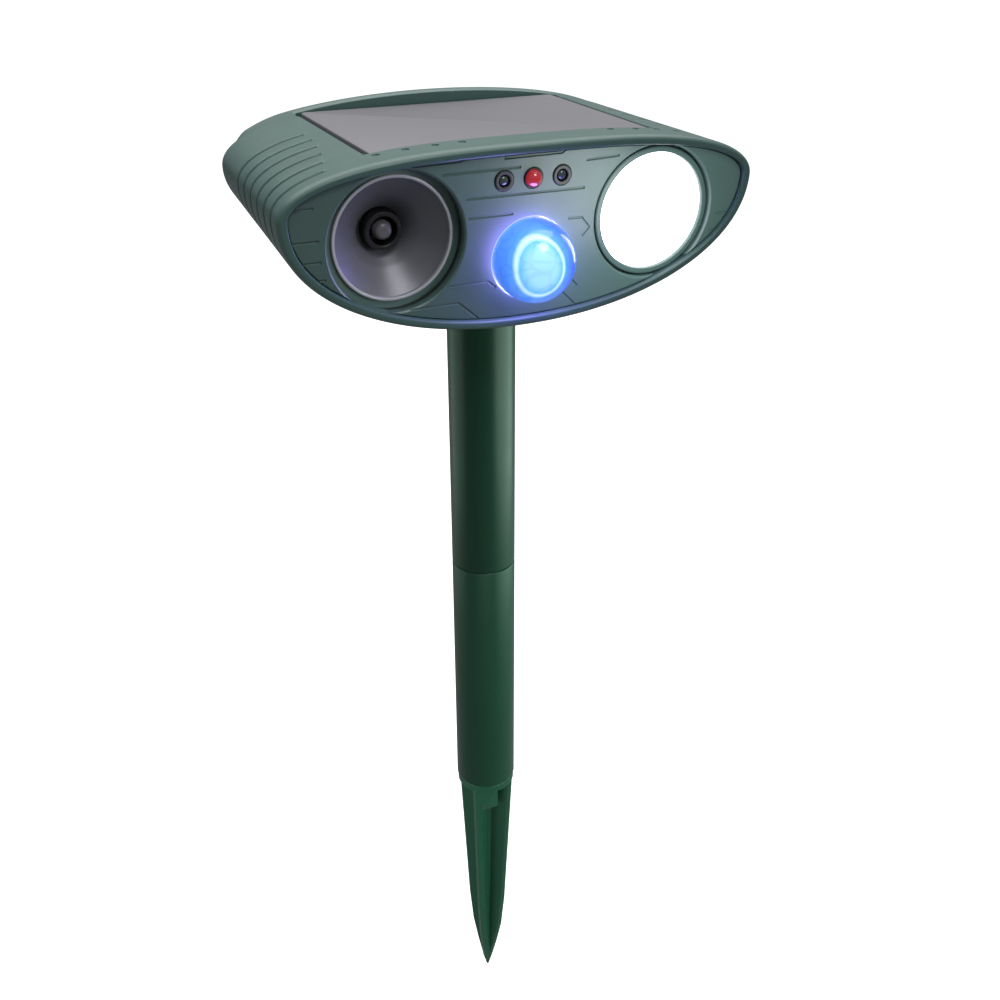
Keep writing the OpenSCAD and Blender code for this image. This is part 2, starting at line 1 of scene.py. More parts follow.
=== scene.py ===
"""Looks of a solar ultrasonic pest repeller on a sectional garden stake.

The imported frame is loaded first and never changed. Each sub-assembly is a class whose fields are
its sizes in millimetres in the head's own axes: x to the strobe's side, depth behind the face and
height above the face's pivot. Meshes are made in metres in the frame's axes.
"""

import logging
import math
from dataclasses import dataclass, field
from enum import Enum
from typing import Callable, Iterable, Optional, Sequence

import bmesh
import bpy
import numpy as np
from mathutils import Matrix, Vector


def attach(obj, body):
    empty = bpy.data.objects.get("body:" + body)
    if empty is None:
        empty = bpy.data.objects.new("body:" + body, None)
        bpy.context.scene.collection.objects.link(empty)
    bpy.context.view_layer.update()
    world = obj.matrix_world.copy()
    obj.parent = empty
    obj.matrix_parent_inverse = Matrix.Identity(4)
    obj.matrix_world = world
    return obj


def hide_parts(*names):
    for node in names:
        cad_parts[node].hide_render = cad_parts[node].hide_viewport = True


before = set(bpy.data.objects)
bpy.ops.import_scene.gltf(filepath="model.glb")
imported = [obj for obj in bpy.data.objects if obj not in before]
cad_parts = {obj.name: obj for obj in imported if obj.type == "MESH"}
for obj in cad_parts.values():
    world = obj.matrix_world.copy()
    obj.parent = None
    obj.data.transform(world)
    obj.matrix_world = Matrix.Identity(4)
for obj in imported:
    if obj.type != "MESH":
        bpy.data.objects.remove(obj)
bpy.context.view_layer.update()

LOG = logging.getLogger("repeller")
MM = 0.001
Point2 = tuple[float, float]
Point3 = tuple[float, float, float]
Colour = tuple[float, float, float]


# ---------------------------------------------------------------- axes and outline


@dataclass(frozen=True)
class HeadAxes:
    """The head's leaning axes: x, depth behind the face, height above its pivot."""

    forward: float = 37.8
    height: float = 222.9
    lean_deg: float = 3.8

    def to_frame(self, points: np.ndarray) -> np.ndarray:
        """Turn head points into the frame's axes.

        Args:
            points: Array of [x, depth, height] rows in millimetres.

        Returns:
            Array of the same shape, in metres.
        """
        p = np.asarray(points, float)
        c, s = math.cos(math.radians(self.lean_deg)), math.sin(math.radians(self.lean_deg))
        x, d, z = p[..., 0], p[..., 1], p[..., 2]
        return np.stack([x, -self.forward + d * c - z * s, self.height + d * s + z * c], -1) * MM


@dataclass(frozen=True)
class HeadOutline:
    """Outline of the head at any depth: an ellipse below and a squarer curve above."""

    half_w: float = 75.6
    mid_z: float = 16.3
    top_h: float = 15.8
    low_h: float = 39.1
    narrowing: float = 0.04
    low_rise: float = 0.23
    mid_drop: float = 3.0
    taper_depth: float = 73.0
    top_power: Point2 = (3.1, 2.1)
    low_power: float = 2.08

    def sizes(self, depth: float, inset: float) -> tuple[float, float, float, float]:
        """Half width, rise, drop and middle height of the section at a depth, drawn in by an inset."""
        s = depth / self.taper_depth
        half = self.half_w * (1 - self.narrowing * s) - inset
        low = self.low_h * (1 - self.low_rise * s) - inset
        return half, self.top_h - inset, low, self.mid_z - self.mid_drop * s

    def point(self, angle: float, depth: float, inset: float) -> Point2:
        """Point of the section at an angle in degrees from the right-hand tip."""
        half, up, low, mid = self.sizes(depth, inset)
        c, s = math.cos(math.radians(angle)), math.sin(math.radians(angle))
        power = self.top_power[0] if s >= 0 else self.low_power
        x = half * math.copysign(abs(c) ** (2 / power), c)
        if s >= 0:
            return x, mid + up * s ** (2 / self.top_power[1])
        return x, mid - low * (-s) ** (2 / self.low_power)

    def top(self, x: float, depth: float, inset: float) -> float:
        """Height of the upper curve above a given x."""
        half, up, _, mid = self.sizes(depth, inset)
        share = max(0.0, 1 - (abs(x) / half) ** self.top_power[0])
        return mid + up * share ** (1 / self.top_power[1])

    def ring(self, depth: float, inset: float, count: int = 180) -> list[Point2]:
        """The whole section as a closed list of points."""
        return [self.point(360 * i / count, depth, inset) for i in range(count)]


@dataclass(frozen=True)
class Places:
    """Places in the head that more than one class uses, as x and height unless said otherwise."""

    speaker: Point2 = (-41.5, 7.5)
    strobe: Point2 = (41.5, 7.5)
    dome: Point2 = (0.0, -1.8)
    lamp_pitch: float = 9.25
    lamp_z: float = 21.8
    ties: tuple[Point2, ...] = ((-66.5, 14), (-18.5, 19.6), (66.5, 14))
    bay: tuple[Point2, Point2] = ((15.2, -0.45), (59.8, 14.45))
    ear: Point2 = (37.5, 18.6)
    dials: tuple[float, float] = (-43.0, -17.0)
    dial_z: float = 6.5
    usb: Point2 = (3.5, 5.8)
    flap_pin: Point2 = (83.1, 12.6)  # depth and height
    panel_front: Point2 = (13.66, 29.7)  # depth and height


AXES = HeadAxes()
OUTLINE = HeadOutline()
PLACES = Places()


# ---------------------------------------------------------------- mesh helpers


def new_object(name: str, verts: np.ndarray, faces: Sequence[Sequence[int]],
               smooth_deg: float = 32) -> bpy.types.Object:
    """Make a mesh object from points in metres, with outward normals and smooth shading up to an angle.

    Args:
        name: Name of the object and its mesh.
        verts: Array of points in metres.
        faces: Vertex indices of each face.
        smooth_deg: Edges sharper than this stay sharp.

    Returns:
        The linked object, at the origin.
    """
    mesh = bpy.data.meshes.new(name)
    mesh.from_pydata(np.asarray(verts, float).tolist(), [], [list(f) for f in faces])
    obj = bpy.data.objects.new(name, mesh)
    bpy.context.scene.collection.objects.link(obj)
    tidy_mesh(obj, smooth_deg)
    return obj


def tidy_mesh(obj: bpy.types.Object, smooth_deg: float = 32, merge: float = 1e-6) -> None:
    """Merge doubles, turn every face outwards and set smooth shading up to an angle."""
    bm = bmesh.new()
    bm.from_mesh(obj.data)
    bmesh.ops.remove_doubles(bm, verts=bm.verts, dist=merge)
    bmesh.ops.recalc_face_normals(bm, faces=bm.faces)
    bm.to_mesh(obj.data)
    bm.free()
    obj.data.polygons.foreach_set("use_smooth", [True] * len(obj.data.polygons))
    obj.data.set_sharp_from_angle(angle=math.radians(smooth_deg))
    obj.data.update()


def grid_faces(rows: int, columns: int, wrap: bool = True) -> list[tuple[int, int, int, int]]:
    """Quads of a grid of points stored row by row, closed round its columns when wrap is set."""
    span = columns if wrap else columns - 1
    faces = []
    for j in range(rows - 1):
        for i in range(span):
            k = (i + 1) % columns
            faces.append((j * columns + i, j * columns + k, (j + 1) * columns + k, (j + 1) * columns + i))
    return faces


def loft(name: str, sections: Sequence[Sequence[Point3]], smooth_deg: float = 32) -> bpy.types.Object:
    """Closed body through rings of head points, with flat ends."""
    rows, columns = len(sections), len(sections[0])
    verts = AXES.to_frame(np.array(sections, float).reshape(-1, 3))
    faces: list[Sequence[int]] = list(grid_faces(rows, columns))
    faces.append(list(range(columns))[::-1])
    faces.append([(rows - 1) * columns + i for i in range(columns)])
    return new_object(name, verts, faces, smooth_deg)


def rounded(points: Sequence[Point2], radii: Sequence[float], closed: bool = True,
            steps: int = 5) -> list[Point2]:
    """Round the corners of a profile with arcs.

    Args:
        points: Corners of the profile.
        radii: Radius at each corner, 0 for a sharp one.
        closed: Whether the last corner joins the first.
        steps: Segments of each arc.

    Returns:
        The rounded profile.
    """
    out: list[Point2] = []
    n = len(points)
    for i, (p, r) in enumerate(zip(points, radii)):
        if r <= 0 or (not closed and i in (0, n - 1)):
            out.append(p)
            continue
        a, b, c = Vector(points[i - 1]), Vector(p), Vector(points[(i + 1) % n])
        u, v = (a - b), (c - b)
        half = u.angle(v) / 2
        reach = min(r / math.tan(half), u.length * 0.49, v.length * 0.49)
        start, end = b + u.normalized() * reach, b + v.normalized() * reach
        for k in range(steps + 1):
            t = k / steps
            q = start * (1 - t) ** 2 + b * 2 * t * (1 - t) + end * t ** 2
            out.append((q.x, q.y))
    return out


def turned(name: str, profile: Sequence[Point2], centre: Point2, closed: bool = True, segments: int = 96,
           smooth_deg: float = 32) -> bpy.types.Object:
    """Turn a profile of (radius, depth) about a depth-wise axis in the head.

    Args:
        name: Name of the object.
        profile: Points of radius and depth in millimetres.
        centre: x and height of the axis.
        closed: Whether the profile is a loop; an open one ends on the axis.
        segments: Number of segments round the axis.
        smooth_deg: Edges sharper than this stay sharp.

    Returns:
        The object.
    """
    angles = np.linspace(0, 2 * math.pi, segments, endpoint=False)
    prof = np.array(profile, float)
    if closed:
        prof = np.vstack([prof, prof[:1]])
    r, d = prof[:, 0][:, None], prof[:, 1][:, None]
    x = centre[0] + r * np.cos(angles)
    z = centre[1] + r * np.sin(angles)
    pts = np.stack([x, np.broadcast_to(d, x.shape), z], -1).reshape(-1, 3)
    return new_object(name, AXES.to_frame(pts), grid_faces(len(prof), segments), smooth_deg)


def upright_turned(name: str, profile: Sequence[Point2], segments: int = 96) -> bpy.types.Object:
    """Turn a closed profile of (radius, height) about the stake's axis, in the frame's own axes."""
    angles = np.linspace(0, 2 * math.pi, segments, endpoint=False)
    prof = np.array(list(profile) + [profile[0]], float)
    r, z = prof[:, 0][:, None], prof[:, 1][:, None]
    x, y = r * np.cos(angles), r * np.sin(angles)
    pts = np.stack([x, y, np.broadcast_to(z, x.shape)], -1).reshape(-1, 3) * MM
    return new_object(name, pts, grid_faces(len(prof), segments), 32)


def block(name: str, low: Point3, high: Point3) -> bpy.types.Object:
    """Box between two head corners."""
    pts = [(x, d, z) for x in (low[0], high[0]) for d in (low[1], high[1]) for z in (low[2], high[2])]
    faces = [(0, 1, 3, 2), (4, 6, 7, 5), (0, 4, 5, 1), (2, 3, 7, 6), (0, 2, 6, 4), (1, 5, 7, 3)]
    return new_object(name, AXES.to_frame(np.array(pts)), faces)


def bar(name: str, x: float, z: float, d0: float, d1: float, radius: float,
        segments: int = 48) -> bpy.types.Object:
    """Round bar along the depth."""
    return turned(name, [(0.0, d0), (radius, d0), (radius, d1), (0.0, d1)], (x, z), False, segments)


def applied(obj: bpy.types.Object) -> bpy.types.Object:
    """Turn the evaluated object into a plain mesh and drop its modifiers."""
    depsgraph = bpy.context.evaluated_depsgraph_get()
    depsgraph.update()
    mesh = bpy.data.meshes.new_from_object(obj.evaluated_get(depsgraph))
    mesh.name = obj.name
    obj.modifiers.clear()
    old = obj.data
    obj.data = mesh
    if old.users == 0:
        bpy.data.meshes.remove(old)
    return obj


class Cut(Enum):
    """What a boolean does with its tools."""

    AWAY = "DIFFERENCE"
    JOIN = "UNION"
    KEEP = "INTERSECT"


def combine(obj: bpy.types.Object, tools: Iterable[bpy.types.Object], how: Cut = Cut.AWAY,
            smooth_deg: float = 32) -> bpy.types.Object:
    """Cut, join or keep a body by others, which are used up.

    Args:
        obj: Body that is changed.
        tools: Bodies to cut or join with.
        how: Kind of boolean.
        smooth_deg: Edges sharper than this stay sharp.

    Returns:
        The changed body, a plain mesh.
    """
    for tool in tools:
        modifier = obj.modifiers.new("cut", "BOOLEAN")
        modifier.operation = how.value
        modifier.solver = "MANIFOLD"
        modifier.object = tool
        applied(obj)
        bpy.data.objects.remove(tool)
    tidy_mesh(obj, smooth_deg, 5e-8)
    return obj


def softened(obj: bpy.types.Object, width: float, segments: int = 2, angle: float = 35) -> bpy.types.Object:
    """Round a body's sharp edges by a width in millimetres."""
    modifier = obj.modifiers.new("soften", "BEVEL")
    modifier.width = width * MM
    modifier.segments = segments
    modifier.limit_method = "ANGLE"
    modifier.angle_limit = math.radians(angle)
    modifier.use_clamp_overlap = True
    modifier.harden_normals = False
    applied(obj)
    obj.data.polygons.foreach_set("use_smooth", [True] * len(obj.data.polygons))
    obj.data.set_sharp_from_angle(angle=math.radians(50))
    return obj


def joined(name: str, parts: Sequence[bpy.types.Object]) -> bpy.types.Object:
    """Join separate meshes into one object, keeping each face's material."""
    bm = bmesh.new()
    materials: list[bpy.types.Material] = []
    for part in parts:
        offset = len(bm.faces)
        bm.from_mesh(part.data)
        bm.faces.ensure_lookup_table()
        for material in part.data.materials:
            if material not in materials:
                materials.append(material)
        slots = [materials.index(m) for m in part.data.materials]
        for face in bm.faces[offset:]:
            face.material_index = slots[min(face.material_index, len(slots) - 1)] if slots else 0
    mesh = bpy.data.meshes.new(name)
    bm.to_mesh(mesh)
    bm.free()
    for material in materials:
        mesh.materials.append(material)
    obj = bpy.data.objects.new(name, mesh)
    bpy.context.scene.collection.objects.link(obj)
    for part in parts:
        bpy.data.objects.remove(part)
    return obj


def dress(obj: bpy.types.Object, look: object) -> bpy.types.Object:
    """Give the whole object one look of the palette, or a material of its own."""
    material = PALETTE.get(look) if isinstance(look, Look) else look
    obj.data.materials.clear()
    obj.data.materials.append(material)
    obj.data.polygons.foreach_set("material_index", [0] * len(obj.data.polygons))
    return obj


def place(obj: bpy.types.Object, body: str, slot: str, *nodes: str) -> bpy.types.Object:
    """Fix a finished piece to its body and hide the frame's nodes that it stands for."""
    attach(obj, body)
    if nodes:
        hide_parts(*nodes)
    LOG.info("%s: %d faces on %s", obj.name, len(obj.data.polygons), body)
    return obj


# ---------------------------------------------------------------- node trees

Feed = object
Feeds = dict[object, Feed]


def feed(tree: bpy.types.NodeTree, node: bpy.types.Node, inputs: Feeds) -> None:
    """Link each input, found by name or index, to another node's socket, or set it to a plain value."""
    for key, value in inputs.items():
        if isinstance(value, bpy.types.NodeSocket):
            tree.links.new(value, node.inputs[key])
        else:
            node.inputs[key].default_value = value


def wired(tree: bpy.types.NodeTree, kind: str, inputs: Optional[Feeds] = None,
          **options: object) -> bpy.types.Node:
    """Add a node to a tree, set its options and feed its inputs.

    Args:
        tree: Tree of geometry or shader nodes.
        kind: Type of the node.
        inputs: Socket or plain value of each input.
        options: Value of each of the node's own options.

    Returns:
        The node.
    """
    node = tree.nodes.new(kind)
    for key, value in options.items():
        setattr(node, key, value)
    feed(tree, node, inputs or {})
    return node


class NodeTree:
    """A geometry node tree with named inputs, ending in Realize Instances and Set Material."""

    def __init__(self, name: str, sizes: Sequence[str], counts: Sequence[str] = ()) -> None:
        """Make a tree with geometry in and out, a material input and its named numbers."""
        self.tree = bpy.data.node_groups.new(name, "GeometryNodeTree")
        self.tree.interface.new_socket("Geometry", in_out="OUTPUT", socket_type="NodeSocketGeometry")
        inputs = [("Geometry", "Geometry"), ("Finish", "Material")]
        inputs += [(size, "Float") for size in sizes] + [(count, "Int") for count in counts]
        for label, kind in inputs:
            self.tree.interface.new_socket(label, in_out="INPUT", socket_type="NodeSocket" + kind)
        self.given = wired(self.tree, "NodeGroupInput").outputs

    def add(self, kind: str, inputs: Feeds, **options: object) -> bpy.types.NodeSocket:
        """Add a node fed by sockets or numbers and return its result."""
        return wired(self.tree, kind, inputs, **options).outputs[0]

    def math(self, operation: str, a: Feed, b: Feed) -> bpy.types.NodeSocket:
        """Result of a sum on two sockets or numbers."""
        return self.add("ShaderNodeMath", {0: a, 1: b}, operation=operation)

    def vector(self, x: Feed, y: Feed, z: Feed) -> bpy.types.NodeSocket:
        """Combine three sockets or numbers into a vector."""
        return self.add("ShaderNodeCombineXYZ", {0: x, 1: y, 2: z})

    def sweep(self, path: bpy.types.NodeSocket, ring: bpy.types.NodeSocket) -> bpy.types.NodeSocket:
        """Run a ring along a path and close both ends."""
        return self.add("GeometryNodeCurveToMesh", {"Curve": path, "Profile Curve": ring, "Fill Caps": True})

    def spread(self, piece: bpy.types.NodeSocket, points: bpy.types.NodeSocket,
               **more: Feed) -> bpy.types.NodeSocket:
        """Set a copy of a piece on every point."""
        return self.add("GeometryNodeInstanceOnPoints", {"Points": points, "Instance": piece, **more})

    def finish(self, geometry: bpy.types.NodeSocket) -> bpy.types.NodeTree:
        """Close the tree with Realize Instances and Set Material."""
        real = self.add("GeometryNodeRealizeInstances", {0: geometry})
        painted = self.add("GeometryNodeSetMaterial", {"Geometry": real, "Material": self.given["Finish"]})
        wired(self.tree, "NodeGroupOutput", {0: painted})
        return self.tree


def grown(obj: bpy.types.Object, tree: bpy.types.NodeTree, values: dict[str, object]) -> bpy.types.Object:
    """Run a geometry node tree on an object and keep its result as a plain mesh.

    Args:
        obj: Carrier of the tree's input geometry.
        tree: The tree.
        values: Value of each named input.

    Returns:
        The same object with the grown mesh.
    """
    modifier = obj.modifiers.new("grow", "NODES")
    modifier.node_group = tree
    for item in tree.interface.items_tree:
        if item.item_type == "SOCKET" and item.in_out == "INPUT" and item.name in values:
            modifier[item.identifier] = values[item.name]
    applied(obj)
    return obj


def carrier(name: str, points: Sequence[Point3] = (),
            edges: Sequence[tuple[int, int]] = ()) -> bpy.types.Object:
    """Mesh of loose head points and edges, which a geometry node tree grows from."""
    mesh = bpy.data.meshes.new(name)
    verts = AXES.to_frame(np.array(points, float)).tolist() if points else []
    mesh.from_pydata(verts, list(edges), [])
    obj = bpy.data.objects.new(name, mesh)
    bpy.context.scene.collection.objects.link(obj)
    return obj


def channel_tree() -> bpy.types.NodeTree:
    """Tree that runs a round bar along every edge, used to engrave lines."""
    t = NodeTree("engraved_channel", ("Radius",), ("Sides",))
    path = t.add("GeometryNodeMeshToCurve", {0: t.given["Geometry"]})
    ring = t.add("GeometryNodeCurvePrimitiveCircle", {
        "Radius": t.given["Radius"], "Resolution": t.given["Sides"]})
    return t.finish(t.sweep(path, ring))


def beads_tree() -> bpy.types.NodeTree:
    """Tree that sets a flattened ball on every point, used for dimples."""
    t = NodeTree("beads_on_points", ("Radius", "Flatness"))
    ball = t.add("GeometryNodeMeshUVSphere", {"Radius": t.given["Radius"], "Segments": 20, "Rings": 10})
    return t.finish(t.spread(ball, t.given["Geometry"], Scale=t.vector(1.0, 1.0, t.given["Flatness"])))


def coil_tree() -> bpy.types.NodeTree:
    """Tree that winds a tapered wire coil on every point, along the frame's depth."""
    t = NodeTree("wound_coil", ("Foot radius", "Top radius", "Length", "Wire radius", "Turns", "Lean"))
    coil = t.add("GeometryNodeCurveSpiral", {
        "Resolution": 24, "Rotations": t.given["Turns"], "Start Radius": t.given["Foot radius"],
        "End Radius": t.given["Top radius"], "Height": t.given["Length"]})
    ring = t.add("GeometryNodeCurvePrimitiveCircle", {"Resolution": 8, "Radius": t.given["Wire radius"]})
    turned_coil = t.vector(t.given["Lean"], 0.0, 0.0)
    return t.finish(t.spread(t.sweep(coil, ring), t.given["Geometry"], Rotation=turned_coil))


def ribs_tree() -> bpy.types.NodeTree:
    """Tree that stands round-backed ribs in a circle about the origin's upward axis."""
    t = NodeTree("ribs_in_a_circle", ("Circle radius", "Rib radius", "Height"), ("Count",))
    circle = t.add("GeometryNodeMeshCircle", {
        "Vertices": t.given["Count"], "Radius": t.given["Circle radius"]})
    rib = t.add("GeometryNodeMeshCylinder", {
        "Vertices": 14, "Radius": t.given["Rib radius"], "Depth": t.given["Height"]})
    return t.finish(t.spread(rib, circle))


def strips_tree() -> bpy.types.NodeTree:
    """Tree that lays equal bars side by side along x, used for grip ribs."""
    t = NodeTree("strips_side_by_side", ("Pitch", "Width", "Length", "Height"), ("Count",))
    out = t.given
    reach = t.math("MULTIPLY", t.math("SUBTRACT", out["Count"], 1.0), t.math("MULTIPLY", out["Pitch"], -0.5))
    row = t.add("GeometryNodeMeshLine", {
        "Count": out["Count"], "Start Location": t.vector(reach, 0.0, 0.0),
        "Offset": t.vector(out["Pitch"], 0.0, 0.0)})
    strip = t.add("GeometryNodeMeshCube", {"Size": t.vector(out["Width"], out["Length"], out["Height"])})
    return t.finish(t.spread(strip, row))


def move_mesh(obj: bpy.types.Object, origin: Point3,
              spin: Callable[[np.ndarray], np.ndarray]) -> bpy.types.Object:
    """Carry a mesh made about the origin in metres to a head point, after a turn in head axes.

    Args:
        obj: Object whose mesh is moved.
        origin: Head point that the mesh's origin goes to.
        spin: Function that turns local millimetres into head directions.

    Returns:
        The object.
    """
    co = np.zeros(len(obj.data.vertices) * 3)
    obj.data.vertices.foreach_get("co", co)
    local = co.reshape(-1, 3) / MM
    obj.data.vertices.foreach_set("co", AXES.to_frame(spin(local) + np.array(origin)).ravel())
    obj.data.update()
    return obj


def back_facing(p: np.ndarray) -> np.ndarray:
    """Turn a mesh that stands along its own z so that it points backwards along the depth."""
    return np.stack([p[:, 0], p[:, 2], -p[:, 1]], -1)


# ---------------------------------------------------------------- shader groups and finishes


def product(tree: bpy.types.NodeTree, a: Feed, b: Feed, clamp: bool = False) -> bpy.types.NodeSocket:
    """Multiply two masks or numbers."""
    return wired(tree, "ShaderNodeMath", {0: a, 1: b}, operation="MULTIPLY", use_clamp=clamp).outputs[0]


def mixed(tree: bpy.types.NodeTree, mask: Feed, low: Feed, high: Feed,
          blend: str = "MIX") -> bpy.types.NodeSocket:
    """Mix two colours or sockets by a mask."""
    ends = [end if isinstance(end, bpy.types.NodeSocket) else (*end, 1.0) for end in (low, high)]
    inputs = {"Factor": mask, 6: ends[0], 7: ends[1]}
    return wired(tree, "ShaderNodeMix", inputs, data_type="RGBA", blend_type=blend).outputs[2]


def bumped(tree: bpy.types.NodeTree, height: Feed, strength: float, distance: float) -> bpy.types.NodeSocket:
    """Normal of a surface that a mask raises by a distance in metres."""
    inputs = {"Height": height, "Strength": strength, "Distance": distance}
    return wired(tree, "ShaderNodeBump", inputs).outputs["Normal"]


class GroupKit:
    """Builds the shader node groups that the finishes share."""

    def __init__(self) -> None:
        """Build each group once."""
        self.grain = self._grain()
        self.wear = self._wear()
        self.dust = self._dust()

    @staticmethod
    def _start(name: str, inputs: dict[str, float], outputs: Sequence[str]) -> tuple:
        """Make a group with named number inputs and outputs, and hand out its inputs' sockets."""
        group = bpy.data.node_groups.new(name, "ShaderNodeTree")
        for key, value in inputs.items():
            socket = group.interface.new_socket(key, in_out="INPUT", socket_type="NodeSocketFloat")
            socket.default_value = value
        for key in outputs:
            group.interface.new_socket(key, in_out="OUTPUT", socket_type="NodeSocketFloat")
        return group, wired(group, "NodeGroupInput").outputs

    @staticmethod
    def _noise(group: bpy.types.NodeTree, scale: Feed, detail: float = 2.0) -> bpy.types.NodeSocket:
        """Noise over the piece's own coordinates."""
        where = wired(group, "ShaderNodeTexCoord").outputs["Object"]
        inputs = {"Vector": where, "Scale": scale, "Detail": detail}
        return wired(group, "ShaderNodeTexNoise", inputs).outputs["Fac"]

    def _grain(self) -> bpy.types.NodeTree:
        """Moulded surface: fine grain height, slow tone drift and roughness mottling."""
        inputs = {"Scale": 900.0, "Drift scale": 18.0, "Depth": 1.0}
        group, given = self._start("moulded_grain", inputs, ("Height", "Tone", "Mottle"))
        fine = self._noise(group, given["Scale"], 3.0)
        wired(group, "NodeGroupOutput", {
            "Height": product(group, fine, given["Depth"]),
            "Tone": self._noise(group, given["Drift scale"], 4.0), "Mottle": self._noise(group, 160.0)})
        return group

    def _wear(self) -> bpy.types.NodeTree:
        """Rubbed edges: a mask that is high on convex edges and broken up by noise."""
        group, given = self._start("edge_wear", {"Low": 0.52, "High": 0.62, "Break-up": 220.0}, ("Mask",))
        bent = wired(group, "ShaderNodeNewGeometry").outputs["Pointiness"]
        edge = wired(group, "ShaderNodeMapRange", {
            "Value": bent, "From Min": given["Low"], "From Max": given["High"]})
        mask = product(group, edge.outputs["Result"], self._noise(group, given["Break-up"]))
        wired(group, "NodeGroupOutput", {"Mask": mask})
        return group

    def _dust(self) -> bpy.types.NodeTree:
        """Settled dust: a mask that is high where the surface faces up, in soft patches."""
        group, given = self._start("settled_dust", {"Amount": 0.3, "Patch scale": 45.0}, ("Mask",))
        normal = wired(group, "ShaderNodeNewGeometry").outputs["Normal"]
        upward = wired(group, "ShaderNodeSeparateXYZ", {0: normal}).outputs["Z"]
        level = wired(group, "ShaderNodeMapRange", {"Value": upward, "From Min": 0.35}).outputs["Result"]
        patch = product(group, level, self._noise(group, given["Patch scale"], 6.0))
        wired(group, "NodeGroupOutput", {"Mask": product(group, patch, given["Amount"])})
        return group


GROUPS = GroupKit()
DUST_COLOUR: Colour = (0.42, 0.4, 0.36)


@dataclass(frozen=True)
class Finish:
    """One finish of the object: colour, gloss, grain, edge wear and dust."""

    name: str
    colour: Colour
    deep: Colour
    roughness: float
    rough_spread: float = 0.08
    coat: float = 0.0
    coat_roughness: float = 0.1
    metallic: float = 0.0
    specular: float = 0.5
    grain_scale: float = 900.0
    grain_depth: float = 0.05
    wear: float = 0.0
    worn: Colour = (0.5, 0.5, 0.5)
    dust: float = 0.0
    glow: Optional[Colour] = None
    glow_strength: float = 0.0

    def material(self) -> bpy.types.Material:
        """Build the material from the shared groups.

        Returns:
            The new material.
        """
        made = bpy.data.materials.new(self.name)
        made.use_nodes = True
        made.diffuse_color = (*self.colour, 1.0)
        tree = made.node_tree
        grain = wired(tree, "ShaderNodeGroup", {"Scale": self.grain_scale}, node_tree=GROUPS.grain).outputs
        tone = mixed(tree, grain["Tone"], self.deep, self.colour)
        if self.wear > 0:
            worn = wired(tree, "ShaderNodeGroup", node_tree=GROUPS.wear).outputs["Mask"]
            tone = mixed(tree, product(tree, worn, self.wear, True), tone, self.worn)
        if self.dust > 0:
            settled = wired(tree, "ShaderNodeGroup", {"Amount": self.dust}, node_tree=GROUPS.dust)
            tone = mixed(tree, settled.outputs["Mask"], tone, DUST_COLOUR)
        rough = wired(tree, "ShaderNodeMapRange", {
            "Value": grain["Mottle"], "To Min": max(0.02, self.roughness - self.rough_spread),
            "To Max": self.roughness + self.rough_spread})
        feed(tree, tree.nodes["Principled BSDF"], {
            "Metallic": self.metallic, "Coat Weight": self.coat, "Coat Roughness": self.coat_roughness,
            "Specular IOR Level": self.specular, "Base Color": tone, "Roughness": rough.outputs["Result"],
            "Normal": bumped(tree, grain["Height"], min(1.0, self.grain_depth * 8), self.grain_depth * MM)})
        if self.glow is not None:
            feed(tree, tree.nodes["Principled BSDF"], {
                "Emission Color": (*self.glow, 1.0), "Emission Strength": self.glow_strength})
        return made


